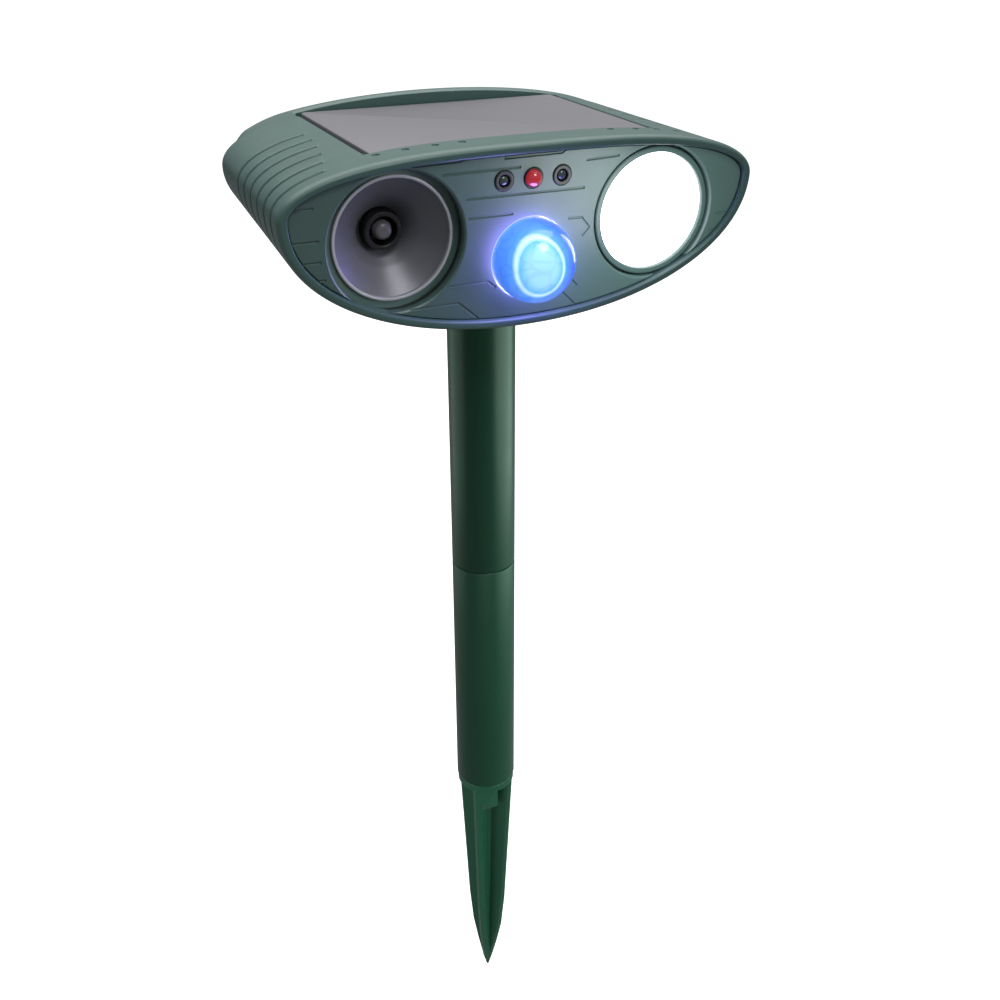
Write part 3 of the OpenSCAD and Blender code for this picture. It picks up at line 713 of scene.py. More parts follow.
class Look(Enum):
    """Every finish on the object, named by what wears it."""

    HOUSING = Finish("housing_satin_green", (0.057, 0.126, 0.109), (0.047, 0.105, 0.09), 0.42, coat=0.12,
                     coat_roughness=0.35, grain_depth=0.02, wear=0.25, worn=(0.14, 0.22, 0.19), dust=0.08)
    FACE = Finish("face_grey_green", (0.062, 0.118, 0.105), (0.05, 0.096, 0.085), 0.4, coat=0.15,
                  coat_roughness=0.3, grain_depth=0.015, wear=0.15, worn=(0.11, 0.15, 0.14))
    STAKE = Finish("stake_deep_green", (0.006, 0.037, 0.021), (0.004, 0.029, 0.016), 0.33,
                   rough_spread=0.05, specular=0.22, grain_scale=420.0, grain_depth=0.012, wear=0.12,
                   worn=(0.08, 0.18, 0.12))
    GLASS = Finish("panel_laminate", (0.172, 0.165, 0.18), (0.152, 0.146, 0.16), 0.45, rough_spread=0.03,
                   coat=0.15, coat_roughness=0.3, grain_scale=260.0, grain_depth=0.004, dust=0.05)
    HORN = Finish("horn_gloss_grey", (0.13, 0.132, 0.15), (0.1, 0.102, 0.115), 0.4, rough_spread=0.05,
                  coat=0.3, coat_roughness=0.3, metallic=0.5, grain_scale=500.0, grain_depth=0.008)
    PLUG = Finish("plug_grey", (0.15, 0.15, 0.165), (0.12, 0.12, 0.13), 0.3, coat=0.4, grain_depth=0.01)
    # Lighter grey of the horn's lip: a painted highlight along the mouth's rounded edge.
    LIP_PAINTED_HIGHLIGHT = Finish("horn_lip_painted_highlight", (0.3, 0.31, 0.33), (0.24, 0.25, 0.27), 0.3, coat=0.3, grain_depth=0.008)
    BLACK = Finish("black_moulding", (0.012, 0.013, 0.013), (0.007, 0.008, 0.008), 0.4, grain_depth=0.02,
                   wear=0.1, worn=(0.1, 0.1, 0.1))
    RUBBER = Finish("black_rubber", (0.014, 0.015, 0.015), (0.009, 0.01, 0.01), 0.62, grain_depth=0.04,
                    specular=0.35)
    STEEL = Finish("screw_steel", (0.5, 0.5, 0.51), (0.4, 0.4, 0.41), 0.3, metallic=1.0,
                   grain_scale=1500.0, grain_depth=0.01)
    REFLECTOR = Finish("bright_reflector", (0.8, 0.8, 0.82), (0.7, 0.7, 0.72), 0.15, metallic=1.0,
                       grain_depth=0.005)
    STROBE = Finish("strobe_lit_lens", (0.95, 0.96, 0.97), (0.9, 0.92, 0.94), 0.2, coat=0.5,
                    grain_depth=0.01, glow=(1.0, 1.0, 1.0), glow_strength=3.2)
    CHIP = Finish("strobe_emitter", (0.9, 0.85, 0.55), (0.8, 0.7, 0.35), 0.4, grain_depth=0.01,
                  glow=(1.0, 0.93, 0.75), glow_strength=1.5)
    RED_LAMP = Finish("lamp_red", (0.42, 0.018, 0.026), (0.3, 0.01, 0.018), 0.12, coat=1.0,
                      coat_roughness=0.04, grain_depth=0.004, glow=(0.75, 0.03, 0.05), glow_strength=0.28)
    CLEAR_LAMP = Finish("lamp_clear", (0.05, 0.075, 0.07), (0.035, 0.055, 0.05), 0.15, coat=0.5,
                        coat_roughness=0.08, grain_depth=0.004)
    WHITE_BOARD = Finish("white_board", (0.75, 0.76, 0.76), (0.66, 0.67, 0.67), 0.5, grain_depth=0.02)
    GREEN_BOARD = Finish("green_board", (0.014, 0.11, 0.045), (0.01, 0.08, 0.03), 0.35, coat=0.5,
                         grain_depth=0.02)
    TIN = Finish("tinned_metal", (0.55, 0.56, 0.57), (0.45, 0.46, 0.47), 0.28, metallic=1.0,
                 grain_scale=1200.0, grain_depth=0.01)
    POT = Finish("pot_blue", (0.03, 0.11, 0.25), (0.02, 0.08, 0.19), 0.4, grain_depth=0.02)
    BRASS = Finish("shaft_brass", (0.6, 0.42, 0.16), (0.5, 0.34, 0.12), 0.28, metallic=1.0,
                   grain_scale=1200.0, grain_depth=0.01)
    WRAP = Finish("cell_wrap", (0.035, 0.13, 0.32), (0.025, 0.1, 0.26), 0.25, coat=0.8, grain_depth=0.01)
    WIRE = Finish("wire_skin", (0.3, 0.02, 0.02), (0.22, 0.014, 0.014), 0.4, grain_depth=0.02)


@dataclass
class Palette:
    """Builds each look once and hands out its material."""

    made: dict[Look, bpy.types.Material] = field(default_factory=dict)

    def get(self, look: Look) -> bpy.types.Material:
        """Material of a look, built on first use."""
        if look not in self.made:
            self.made[look] = look.value.material()
        return self.made[look]


PALETTE = Palette()


# ---------------------------------------------------------------- housing


def smooth_ramp(value: float, low: float, high: float) -> float:
    """Ease from 0 at low to 1 at high."""
    t = min(1.0, max(0.0, (value - low) / (high - low)))
    return t * t * (3 - 2 * t)


@dataclass
class PanelSeat:
    """The recess in the housing's top that the solar panel lies in."""

    half_w: float = 46.5
    front: float = 13.0
    rear: float = 79.62
    hinge: Point2 = PLACES.panel_front
    fall: float = 0.04418
    drop: float = 3.203
    lip: float = 0.8

    def floor(self, depth: float) -> float:
        """Height of the recess's floor at a depth."""
        return self.hinge[1] - self.drop - self.fall * (depth - self.hinge[0])

    def height(self, x: float, depth: float, skin: float) -> float:
        """Height of the housing's top with the recess sunk into it and its lip rounded."""
        ex, ed = abs(x) - self.half_w, max(self.front - depth, depth - self.rear)
        if ex < 0 and ed < 0:
            return min(skin, self.floor(depth))
        gap = math.hypot(max(ex, 0.0), max(ed, 0.0))
        if gap >= self.lip:
            return skin
        return skin - self.lip + math.sqrt(max(0.0, self.lip ** 2 - (self.lip - gap) ** 2))


@dataclass
class HousingShell:
    """The green housing: grooved skin, panel recess, rear brow, battery bay and the stake's boss."""

    seat: PanelSeat = field(default_factory=PanelSeat)
    grooves: tuple[Point2, ...] = ((8, 60), (16, 57.5), (24.5, 55.5), (33, 54), (41.5, 53), (50, 52.5))
    groove_cut: float = 1.25
    groove_half: float = 1.0
    rim: float = 3.0
    ledge: float = 4.8
    back: float = 81.5
    edge_x: float = 50.0
    ties: tuple[Point2, ...] = PLACES.ties
    bay: tuple[Point2, Point2] = PLACES.bay
    ear: Point2 = PLACES.ear
    dials: tuple[float, float] = PLACES.dials
    dial_z: float = PLACES.dial_z
    usb: Point2 = PLACES.usb
    hinge: Point2 = PLACES.flap_pin
    cup: Point2 = PLACES.strobe
    boss_r: float = 13.56
    boss_foot: float = 204.0
    boss_top: float = 232.4
    bore_r: float = 11.56
    bay_wall: float = 1.4
    rear_out: float = 95.0
    brow_half: float = 69.8
    brow_arch: tuple[float, float, float] = (15.5, 15.1, 71.0)  # foot, rise and half span
    brow_rear: float = 84.0
    brow_crest: float = 81.4
    brow_front: float = 79.9
    brow_step: tuple[float, float, float] = (46.6, 47.4, 48.2)
    dimple_spots: tuple[Point2, ...] = (
        (-44.5, 9.4), (-35.8, 9.4), (-27.0, 9.4), (-18.8, 9.4),
        (29.5, 10.4), (38.2, 10.4), (45.8, 10.6), (53.2, 11.0))
    dimple_r: float = 1.2

    def groove(self, depth: float, x: float) -> float:
        """How far the louvre grooves draw the skin in at a depth and distance from the middle."""
        cut = 0.0
        for middle, start in self.grooves:
            near = 1 - smooth_ramp(abs(depth - middle), 0.35 * self.groove_half, self.groove_half)
            cut = max(cut, near * smooth_ramp(abs(x), start - 1.0, start + 1.6))
        return cut * self.groove_cut

    def stations(self) -> list[Point2]:
        """Depth and inset of every ring of the skin, from the pocket's floor round the rim to the back."""
        rings = [(self.ledge, self.rim), (2.0, self.rim), (0.8, self.rim)]
        for k in range(1, 5):
            a = math.radians(22.5 * k)
            rings.append((0.8 - 0.8 * math.sin(a), self.rim - 0.7 * (1 - math.cos(a))))
        for k in range(9):
            a = math.radians(90 * k / 8)
            rings.append((2.6 * (1 - math.cos(a)), 1.5 * (1 - math.sin(a))))
        marks = {round(float(d), 3) for d in np.arange(4.2, 72.9, 2.4)}
        for middle, _ in self.grooves:
            marks.update(round(middle + u, 3) for u in np.linspace(-1.1, 1.1, 13))
        marks.update(round(self.seat.front - u, 3) for u in (0.0, 0.05, 0.15, 0.3, 0.5, 0.8))
        marks.add(self.seat.front + 0.02)
        rings.extend((d, 0.0) for d in sorted(marks))
        for k in range(19):
            a = math.radians(5 * k)
            rings.append((73 + 8.5 * math.sin(a), 6.5 * (1 - math.cos(a))))
        edge = [self.seat.rear + u for u in (-0.02, 0.0, 0.2, 0.45, 0.8)]
        rings.extend((d, self._rear_inset(d)) for d in edge)
        head, tail = rings[:16], sorted(rings[16:])
        return head + [r for r, after in zip(tail, tail[1:] + [(1e9, 0)]) if after[0] - r[0] > 0.012]

    @staticmethod
    def _rear_inset(depth: float) -> float:
        """Inset of the rounded rear at a depth."""
        return 6.5 * (1 - math.sqrt(max(0.0, 1 - ((depth - 73) / 8.5) ** 2)))

    def ring(self, depth: float, inset: float, outside: bool) -> list[Point3]:
        """One ring of the skin: fixed columns across the top, then round each side to the bottom."""
        half = OUTLINE.sizes(depth, inset)[0]
        edge = min(self.edge_x, half * 0.7)
        inner = [round(x, 2) for x in np.linspace(0, self.seat.half_w - 0.02, 14)]
        outer = [self.seat.half_w + u for u in (0.0, 0.05, 0.15, 0.3, 0.5, 0.8)] + [48.6]
        xs = inner + outer + [edge]
        xs = [-x for x in reversed(xs[1:])] + xs
        points: list[Point3] = []
        for x in xs:
            z = OUTLINE.top(x, depth, inset)
            points.append((x, depth, self.seat.height(x, depth, z) if outside else z))
        start = math.degrees(math.acos((edge / half) ** (OUTLINE.top_power[0] / 2)))
        count = 96
        right: list[Point3] = []
        for k in range(1, count + 1):
            angle = start - (start + 90) * k / count
            x, _ = OUTLINE.point(angle, depth, inset)
            px, pz = OUTLINE.point(angle, depth, inset + (self.groove(depth, x) if outside else 0))
            right.append((px, depth, pz))
        left = [(-x, d, z) for x, d, z in reversed(right[:-1])]
        return points + right + left

    def skin(self) -> bpy.types.Object:
        """The whole outside as one closed body, pocket included."""
        stations = self.stations()
        sections = [self.ring(d, i, n >= 8) for n, (d, i) in enumerate(stations)]
        return loft("housing_shell", sections, 34)

    def brow(self) -> bpy.types.Object:
        """Arched lip behind the panel, its ends sunk smoothly into the housing."""
        sections: list[list[Point3]] = []
        base, rise, span = self.brow_arch
        step, half = self.brow_step, self.brow_half
        for x in sorted({*np.linspace(-half, half, 101), *step, *(-s for s in step)}):
            fade, side = smooth_ramp(abs(x), 50, 70), smooth_ramp(abs(x), step[0], step[-1])
            top = base + rise * math.sqrt(1 - (x / span) ** 2) - 3.0 * smooth_ramp(abs(x), 63.0, 70.0)
            rear, crest = self.brow_rear - 4.8 * fade, self.brow_crest - 3.6 * fade
            front = self.brow_front - 12.0 * side
            foot = (top - 0.5) * (1 - side) + (OUTLINE.top(x, front, 0) - 0.25) * side
            low = min(22.4 - 8.0 * fade, top - 1.4, foot - 1.0)
            corners = [(front, low), (rear, low), (rear, top), (crest, top), (front, foot)]
            profile = rounded(corners, [0, 0.9, 1.9, 2.5, 0.3])
            sections.append([(float(x), d, z) for d, z in profile])
        return loft("brow", sections, 40)

    def cavity(self) -> bpy.types.Object:
        """The hollow inside, less the tray, the bay's walls, the screw tubes and the boss."""
        rings = [(4.0, 5.4), (7.0, 5.4), (7.5, 2.6), (74.0, 2.6), (78.0, 5.0), (78.9, 8.0)]
        hollow = loft("cavity", [[(x, d, z) for x, z in OUTLINE.ring(d, i, 120)] for d, i in rings])
        seat = self.seat
        low = [(10.5, seat.floor(10.5) - 2), (85.5, seat.floor(85.5) - 2), (85.5, 60.0), (10.5, 60.0)]
        tray = loft("tray", [[(x, d, z) for d, z in low] for x in (-49.0, 49.0)])
        (x0, z0), (x1, z1) = self.bay
        wall = self.bay_wall
        cell = block("bay_walls", (x0 - wall, 26.0, z0 - wall), (x1 + wall, 90.0, z1 + wall))
        tubes = [bar("tube", x, z, 0.0, 90.0, 4.0, 40) for x, z in self.ties]
        r, top = self.boss_r, self.boss_top
        boss = upright_turned("boss", [(0.0, 200.0), (r, 200.0), (r, top), (0.0, top)])
        return combine(hollow, [tray, cell, *tubes, boss])

    def openings(self) -> bpy.types.Object:
        """Every bore and opening cut from the rear, as one set of separate cutters."""
        (x0, z0), (x1, z1) = self.bay
        out = self.rear_out
        parts = [block("bay", (x0, 27.6, z0), (x1, out, z1))]
        stepped = [(0, 1.0), (1.5, 1.0), (1.5, 11.5), (3, 11.5), (3, out), (0, out)]
        parts.extend(turned("tie", stepped, place_at, False, 40) for place_at in self.ties)
        parts.append(turned("ear", [(0, 72), (1.5, 72), (1.5, out), (0, out)], self.ear, False, 32))
        parts.extend(bar("shaft", x, self.dial_z, 60, out, 3.5, 40) for x in self.dials)
        ux, uz = self.usb
        parts.append(block("usb", (ux - 5.4, 60, uz - 3.1), (ux + 5.4, out, uz + 2.5)))
        return joined("openings", parts)

    def dimples(self) -> bpy.types.Object:
        """Shallow dimples between the panel and the rim, cut as flattened balls."""
        points = [(x, d, OUTLINE.top(x, d, 0) + 0.15) for x, d in self.dimple_spots]
        sizes = {"Radius": self.dimple_r * MM, "Flatness": 0.85}
        return grown(carrier("dimples", points), beads_tree(), sizes)

    def build(self) -> bpy.types.Object:
        """Shape the housing: skin, additions, then every hollow."""
        shell = self.skin()
        (x0, z0), (x1, z1) = self.bay
        wall = self.bay_wall
        extras = [self.brow(), block("rear_frame", (x0 - wall, 70, z0 - wall), (x1 + wall, 82.0, z1 + wall)),
                  bar("ear_boss", *self.ear, 70, 82.0, 3.2)]
        for side in (-1, 1):
            x = self.usb[0] + side * 6.8
            pin_z = self.hinge[1]
            extras.append(block("lug", (x - 0.8, 80.5, pin_z - 1.6), (x + 0.8, 84.5, pin_z + 1.6)))
        r, foot, top = self.boss_r, self.boss_foot, self.boss_top
        boss = rounded([(0, foot), (r, foot), (r, top), (0, top)], [0, 0.8, 0, 0], False)
        extras.append(upright_turned("boss", [(max(r, 0.0), z) for r, z in boss]))
        combine(shell, extras, Cut.JOIN, 34)
        cups = [bar("relief", s * self.cup[0], self.cup[1], 4.0, 8.0, 21.0, 96) for s in (-1, 1)]
        relief = joined("relief", cups)
        combine(shell, [self.cavity(), relief, self.openings(), self.dimples()], Cut.AWAY, 34)
        bore = [(0.0, 150.0), (self.bore_r, 150.0), (self.bore_r, 230.0), (0.0, 230.0)]
        combine(shell, [upright_turned("bore", bore)], Cut.AWAY, 34)
        return place(dress(shell, Look.HOUSING), "head", "housing_green", "main_housing")


# ---------------------------------------------------------------- face, speaker, strobe, sensor, lamps


@dataclass
class FacePanel:
    """The grey-green face with its round openings and engraved circuit-like lines."""

    front: float = 1.6
    back: float = 4.0
    inset: float = 3.15
    cup: Point2 = PLACES.strobe
    cup_r: float = 20.3
    dome: Point2 = PLACES.dome
    dome_r: float = 12.45
    lamp_pitch: float = PLACES.lamp_pitch
    lamp_z: float = PLACES.lamp_z
    lamp_r: float = 2.95
    ties: tuple[Point2, ...] = PLACES.ties
    lines: tuple[tuple[Point2, ...], ...] = (
        ((-37, 28.2), (-22.5, 28.4), (-21, 29.2)), ((-10, 29.4), (-9, 28), (9, 28.2), (10.4, 29.4)),
        ((-28, 25), (-4, 25.2)), ((17, 25.4), (28, 25.8)), ((-21, 17.6), (17, 17.4)), ((-20, 12), (-6, 12)),
        ((12, 8.8), (16.6, 8.6), (19.4, 5.4), (17, 3)), ((-26, -7.4), (-13.6, -7.4), (-11, -9.6)),
        ((-38, -12.8), (-23, -12.8), (-16.6, -18.4)), ((11.2, -13.8), (16, -18.6)),
        ((14, -10), (16.4, -12.6)),
        ((-71, 19.4), (-65, 19.6)), ((-71.4, 10.5), (-64, 10.5)), ((-70, 4.6), (-63.6, 4.6)),
        ((-67, -0.6), (-62.6, -0.6)), ((64.5, 4.6), (69.8, 4.6)), ((63, -0.6), (66.6, -0.6)))

    def engraving(self) -> bpy.types.Object:
        """Cutter for every engraved line, swept along its path."""
        points: list[Point3] = []
        edges: list[tuple[int, int]] = []
        for run in self.lines:
            base = len(points)
            points.extend((x, self.front, z) for x, z in run)
            edges.extend((base + i, base + i + 1) for i in range(len(run) - 1))
        return grown(carrier("engraving", points, edges), channel_tree(), {"Radius": 0.42 * MM, "Sides": 12})

    def build(self) -> bpy.types.Object:
        """Shape the plate, open its holes, soften the edges and engrave it."""
        rings = [(self.front, self.inset + 0.3), (self.front + 0.3, self.inset), (self.back, self.inset)]
        plate = loft("face_plate", [[(x, d, z) for x, z in OUTLINE.ring(2, i, 240)] for d, i in rings], 20)
        r = self.cup_r
        holes = []
        for side in (-1, 1):
            mouth = [(0, -3), (r + 0.7, -3), (r + 0.7, self.front - 0.02), (r + 0.45, self.front + 0.12),
                     (r + 0.12, self.front + 0.45), (r, self.front + 0.75), (r, 9), (0, 9)]
            holes.append(turned("cup_hole", mouth, (side * self.cup[0], self.cup[1]), False, 160))
        small = [(self.dome, self.dome_r, 128)]
        small += [((k * self.lamp_pitch, self.lamp_z), self.lamp_r, 64) for k in (-1, 0, 1)]
        for centre, radius, count in small:
            wide = radius + 0.25
            mouth = [(0, -3), (wide, -3), (wide, self.front), (radius, self.front + 0.25),
                     (radius, 9), (0, 9)]
            holes.append(turned("hole", mouth, centre, False, count))
        combine(plate, [joined("holes", holes), self.engraving()], Cut.AWAY, 20)
        bosses = [bar("tie_boss", x, z, self.back - 0.4, self.back + 3.8, 3.2) for x, z in self.ties]
        combine(plate, bosses, Cut.JOIN, 20)
        bores = joined("bores", [bar("bore", x, z, self.back - 1, 12, 1.5, 32) for x, z in self.ties])
        combine(plate, [bores], Cut.AWAY, 20)
        return place(dress(plate, Look.FACE), "head", "face_green", "front_panel")


@dataclass
class SpeakerUnit:
    """The grey horn in its stepped cup, its round-nosed plug and the black ring round it."""

    centre: Point2 = PLACES.speaker
    wall_r: float = 20.8
    rim_r: float = 17.2
    throat_r: float = 6.0
    ear_x: float = 22.6

    def build(self) -> list[bpy.types.Object]:
        """Shape and dress the horn and the plug."""
        (cx, cz), throat = self.centre, self.throat_r
        cup = rounded([(20.4, 4.02), (self.wall_r, 4.02), (self.wall_r, 6.4), (17, 9.5), (8.2, 18.6),
                       (throat, 18.6), (throat, 17.0), (10.4, 12.2), (13.8, 9.1), (self.rim_r, 6.0),
                       (20.4, 6.0)],
                      [0, 0, 0, 2, 0, 0, 0.4, 14, 14, 0.1, 0.15], True, 7)
        horn = turned("horn", cup, self.centre, True, 160, 40)
        flange = [[(x, d, z) for x, z in OUTLINE.ring(5, 5.6, 160)] for d in (3.0, 9.0)]
        ears = bar("ears", *self.centre, 4.02, 6.0, 22.4, 96)
        combine(ears, [loft("mouth", flange)], Cut.KEEP)
        combine(ears, [bar("ear", cx + s * self.ear_x, cz, 4.02, 6.0, 2.6) for s in (-1, 1)], Cut.JOIN)
        combine(ears, [bar("core", *self.centre, 0, 20, 20.6, 160)])
        combine(horn, [ears], Cut.JOIN, 40)
        seats = [turned("seat", [(0, 0), (1.5, 0), (1.5, 6.0), (2.9, 6.0), (2.9, 9), (0, 9)],
                        (cx + s * self.ear_x, cz), False, 40) for s in (-1, 1)]
        combine(horn, [joined("seats", seats)], Cut.AWAY, 40)
        edge = self.rim_r + 0.95
        # The lip wears a lighter grey as a painted highlight on the mouth's edge.
        lip = rounded([(self.rim_r - 0.15, 6.1), (self.rim_r - 0.05, 5.0), (edge, 5.0), (edge, 6.1)],
                      [0.05, 0.45, 0.45, 0.05])
        gutter = [(edge - 0.05, 5.9), (20.39, 5.9), (20.39, 6.05), (edge - 0.05, 6.05)]
        # Thin black band over the step's inner wall: painted shade for the dark gap between the lip and the
        # cup.
        wall = [(20.36, 4.1), (20.42, 4.1), (20.42, 5.95), (20.36, 5.95)]
        trims = [dress(turned("lip", lip, self.centre, True, 160), Look.LIP_PAINTED_HIGHLIGHT),
                 dress(turned("gutter", gutter, self.centre, True, 160), Look.FACE),
                 dress(turned("wall", wall, self.centre, True, 160), Look.BLACK)]
        horn = joined("horn_cup", [dress(horn, Look.HORN), *trims])
        place(horn, "head", "horn_grey", "speaker_horn")
        nose = rounded([(0, 12.0), (2.3, 12.3), (3, 14.6), (3, 18.6), (0, 18.6)], [0, 2.2, 1, 0.2, 0],
                       False, 8)
        plug = dress(turned("nose", nose, self.centre, False, 64, 50), Look.PLUG)
        band = rounded([(4.2, 12.8), (5.7, 12.8), (5.7, 18.6), (4.2, 18.6)], [0.6, 0.6, 0.1, 0.1])
        ring = dress(turned("ring", band, self.centre, True, 80), Look.BLACK)
        webs = []
        for turn in range(3):
            a = math.radians(120 * turn)
            x, z = cx + 3.6 * math.cos(a), cz - 3.6 * math.sin(a)
            webs.append(dress(block("web", (x - 0.95, 17.4, z - 0.6), (x + 0.95, 18.5, z + 0.6)), Look.BLACK))
        core = place(joined("horn_plug", [plug, ring, *webs]), "head", "plug_grey", "speaker_plug")
        return [horn, core]


@dataclass
class StrobeUnit:
    """The lit strobe disc in its dark bezel."""

    centre: Point2 = PLACES.strobe
    disc_r: float = 17.8

    def build(self) -> list[bpy.types.Object]:
        """Shape and dress the lens and the bezel."""
        r = self.disc_r
        lens = rounded([(0, 3.0), (r - 4, 3.05), (r, 3.3), (r, 5.7), (0, 5.7)], [0, 3, 0.4, 0.1, 0], False)
        edge = [(r - 0.05, 3.95), (20.1, 3.95), (20.1, 5.7), (r - 0.05, 5.7)]
        disc = joined("strobe_disc", [dress(turned("lens", lens, self.centre, False, 128), Look.STROBE),
                                      dress(turned("edge", edge, self.centre, True, 128), Look.FACE)])
        place(disc, "head", "clear_lens", "strobe_lens")
        band = rounded([(17.9, 2.3), (19.7, 2.3), (19.7, 3.86), (17.9, 3.86)], [0.3, 0.7, 0.1, 0.1])
        ring = dress(turned("strobe_ring", band, self.centre, True, 128), Look.FACE)
        return [disc, place(ring, "head", "black_plastic", "strobe_bezel")]


@dataclass
class SensorUnit:
    """The blue dome of the motion sensor with a painted glow, its lens facets moulded on the outside."""

    centre: Point2 = PLACES.dome
    radius: float = 12.2
    mid: float = -1.5

    def arc(self, radius: float, angles: np.ndarray) -> list[Point2]:
        """Radius and depth of points on a sphere round the dome's middle."""
        return [(radius * math.sin(a), self.mid - radius * math.cos(a)) for a in angles]

    def build(self) -> bpy.types.Object:
        """Shape and dress the dome."""
        outer = self.arc(self.radius, np.linspace(0, math.pi / 2, 40))
        inner = self.arc(self.radius - 1, np.linspace(math.pi / 2, 0, 30))
        profile = outer + [(self.radius, 4.02), (15, 4.02), (15, 5.42), (self.radius - 1, 5.42)] + inner
        dome = turned("sensor_dome", [(max(r, 0.0), d) for r, d in profile], self.centre, False, 128, 40)
        # The dome is dressed in painted glow: emission on a lens that is no lamp.
        return place(dress(dome, DomeGlow().material()), "head", "pir_lens", "pir_lens")


@dataclass(frozen=True)
class DomeGlow:
    """Painted glow of the sensor's dome, which is no lamp: deep blue, with a pale facetted oval and a bright
    line round it, facet edges darker, and for other rays a violet halo that lights the face.
    """

    deep: Colour = (0.05, 0.15, 0.93)
    pale: Colour = (0.33, 0.68, 1.0)
    line: Colour = (0.62, 0.93, 1.0)
    centre: Point2 = (-3.1, -0.5)
    oval: Point2 = (7.1, 8.9)
    reach: float = 1.6
    strength: float = 0.8
    spill: float = 14.0
    halo: Colour = (0.34, 0.28, 1.0)

    def material(self) -> bpy.types.Material:
        """Build the node material in object coordinates.

        Returns:
            The new material.
        """
        made = bpy.data.materials.new("sensor_dome_painted_glow")
        made.use_nodes = True
        tree = made.node_tree
        seen = wired(tree, "ShaderNodeLightPath").outputs["Is Camera Ray"]
        where = wired(tree, "ShaderNodeTexCoord").outputs["Object"]
        middle = AXES.to_frame(np.array([self.centre[0], -9.0, self.centre[1]]))
        wide, high = self.oval[0] * MM, self.oval[1] * MM
        shift = wired(tree, "ShaderNodeMapping", {
            "Vector": where, "Location": (-middle[0] / wide, 0.0, -middle[2] / high),
            "Scale": (1 / wide, 0.0, 1 / high)})
        far = wired(tree, "ShaderNodeVectorMath", {0: shift.outputs["Vector"]}, operation="LENGTH")
        inputs = {0: far.outputs["Value"], 1: self.reach}
        share = wired(tree, "ShaderNodeMath", inputs, operation="DIVIDE").outputs[0]
        ramp = wired(tree, "ShaderNodeValToRGB", {"Fac": share})
        stops = ((0.0, self.pale), (0.55, self.pale), (0.83, (0.15, 0.5, 1.0)), (0.93, self.line),
                 (1.04, (0.09, 0.33, 1.0)), (1.5, self.deep))
        marks = ramp.color_ramp.elements
        marks.remove(marks[1])
        for n, (distance, colour) in enumerate(stops):
            stop = marks[0] if n == 0 else marks.new(distance / self.reach)
            stop.position = distance / self.reach
            stop.color = (*colour, 1.0)
        inputs = {"Vector": where, "Scale": 190.0}
        cells = wired(tree, "ShaderNodeTexVoronoi", inputs, feature="DISTANCE_TO_EDGE")
        facet = wired(tree, "ShaderNodeMapRange", {
            "Value": cells.outputs["Distance"], "From Max": 0.08, "To Min": 0.87}).outputs["Result"]
        tint = mixed(tree, 1.0, ramp.outputs["Color"], facet, "MULTIPLY")
        power = wired(tree, "ShaderNodeMapRange", {
            "Value": seen, "To Min": self.spill, "To Max": self.strength})
        # Painted glow: the camera sees the pale oval and bright line as emission, and other rays get the
        # violet halo at spill strength.
        feed(tree, tree.nodes["Principled BSDF"], {
            "Roughness": 0.2, "Coat Weight": 0.6, "Coat Roughness": 0.1, "Base Color": tint,
            "Emission Color": mixed(tree, seen, self.halo, tint),
            "Emission Strength": power.outputs["Result"], "Normal": bumped(tree, facet, 0.5, 0.3 * MM)})
        return made


@dataclass
class IndicatorRow:
    """Three lamps in black bezels: a red one between two clear ones."""

    pitch: float = PLACES.lamp_pitch
    height: float = PLACES.lamp_z
    lamp_r: float = 2.5
    ring: Point2 = (2.9, 1.75)

    def lamp(self, name: str, x: float, dome: float, look: Look, slot: str,
             radius: float) -> bpy.types.Object:
        """One lamp: dome, body, flange and two legs."""
        arc = [(radius * math.sin(a), dome - radius * math.cos(a)) for a in np.linspace(0, math.pi / 2, 14)]
        body = arc + [(radius, 6.0), (self.lamp_r + 0.4, 6.0), (self.lamp_r + 0.4, 7.0), (0.0, 7.0)]
        bulb = dress(turned("bulb", [(max(r, 0.0), d) for r, d in body], (x, self.height), False, 48), look)
        legs = [dress(bar("leg", x + s * 1.27, self.height, 6.95, 12.16, 0.3, 12), Look.TIN) for s in (-1, 1)]
        return place(joined("lamp_" + name, [bulb, *legs]), "head", slot, "led_" + name)

    def build(self) -> list[bpy.types.Object]:
        """Shape and dress the lamps and their bezels."""
        made = [self.lamp("left", -self.pitch, 2.7, Look.CLEAR_LAMP, "led_clear", 1.7),
                self.lamp("centre", 0.0, 1.6, Look.RED_LAMP, "led_red", 2.5),
                self.lamp("right", self.pitch, 2.7, Look.CLEAR_LAMP, "led_clear", 1.7)]
        rings = []
        for k in (-1, 0, 1):
            inner = 2.55 if k == 0 else self.ring[1]
            outer = self.ring[0]
            band = rounded([(inner, 1.3), (outer, 1.3), (outer, 4.0), (inner, 4.0)], [0.35, 0.35, 0, 0])
            rings.append(turned("ring", band, (k * self.pitch, self.height), True, 64))
        bezels = dress(joined("lamp_rings", rings), Look.BLACK)
        made.append(place(bezels, "head", "black_plastic", "led_bezels"))
        return made


# ---------------------------------------------------------------- top, stake, rear and bay


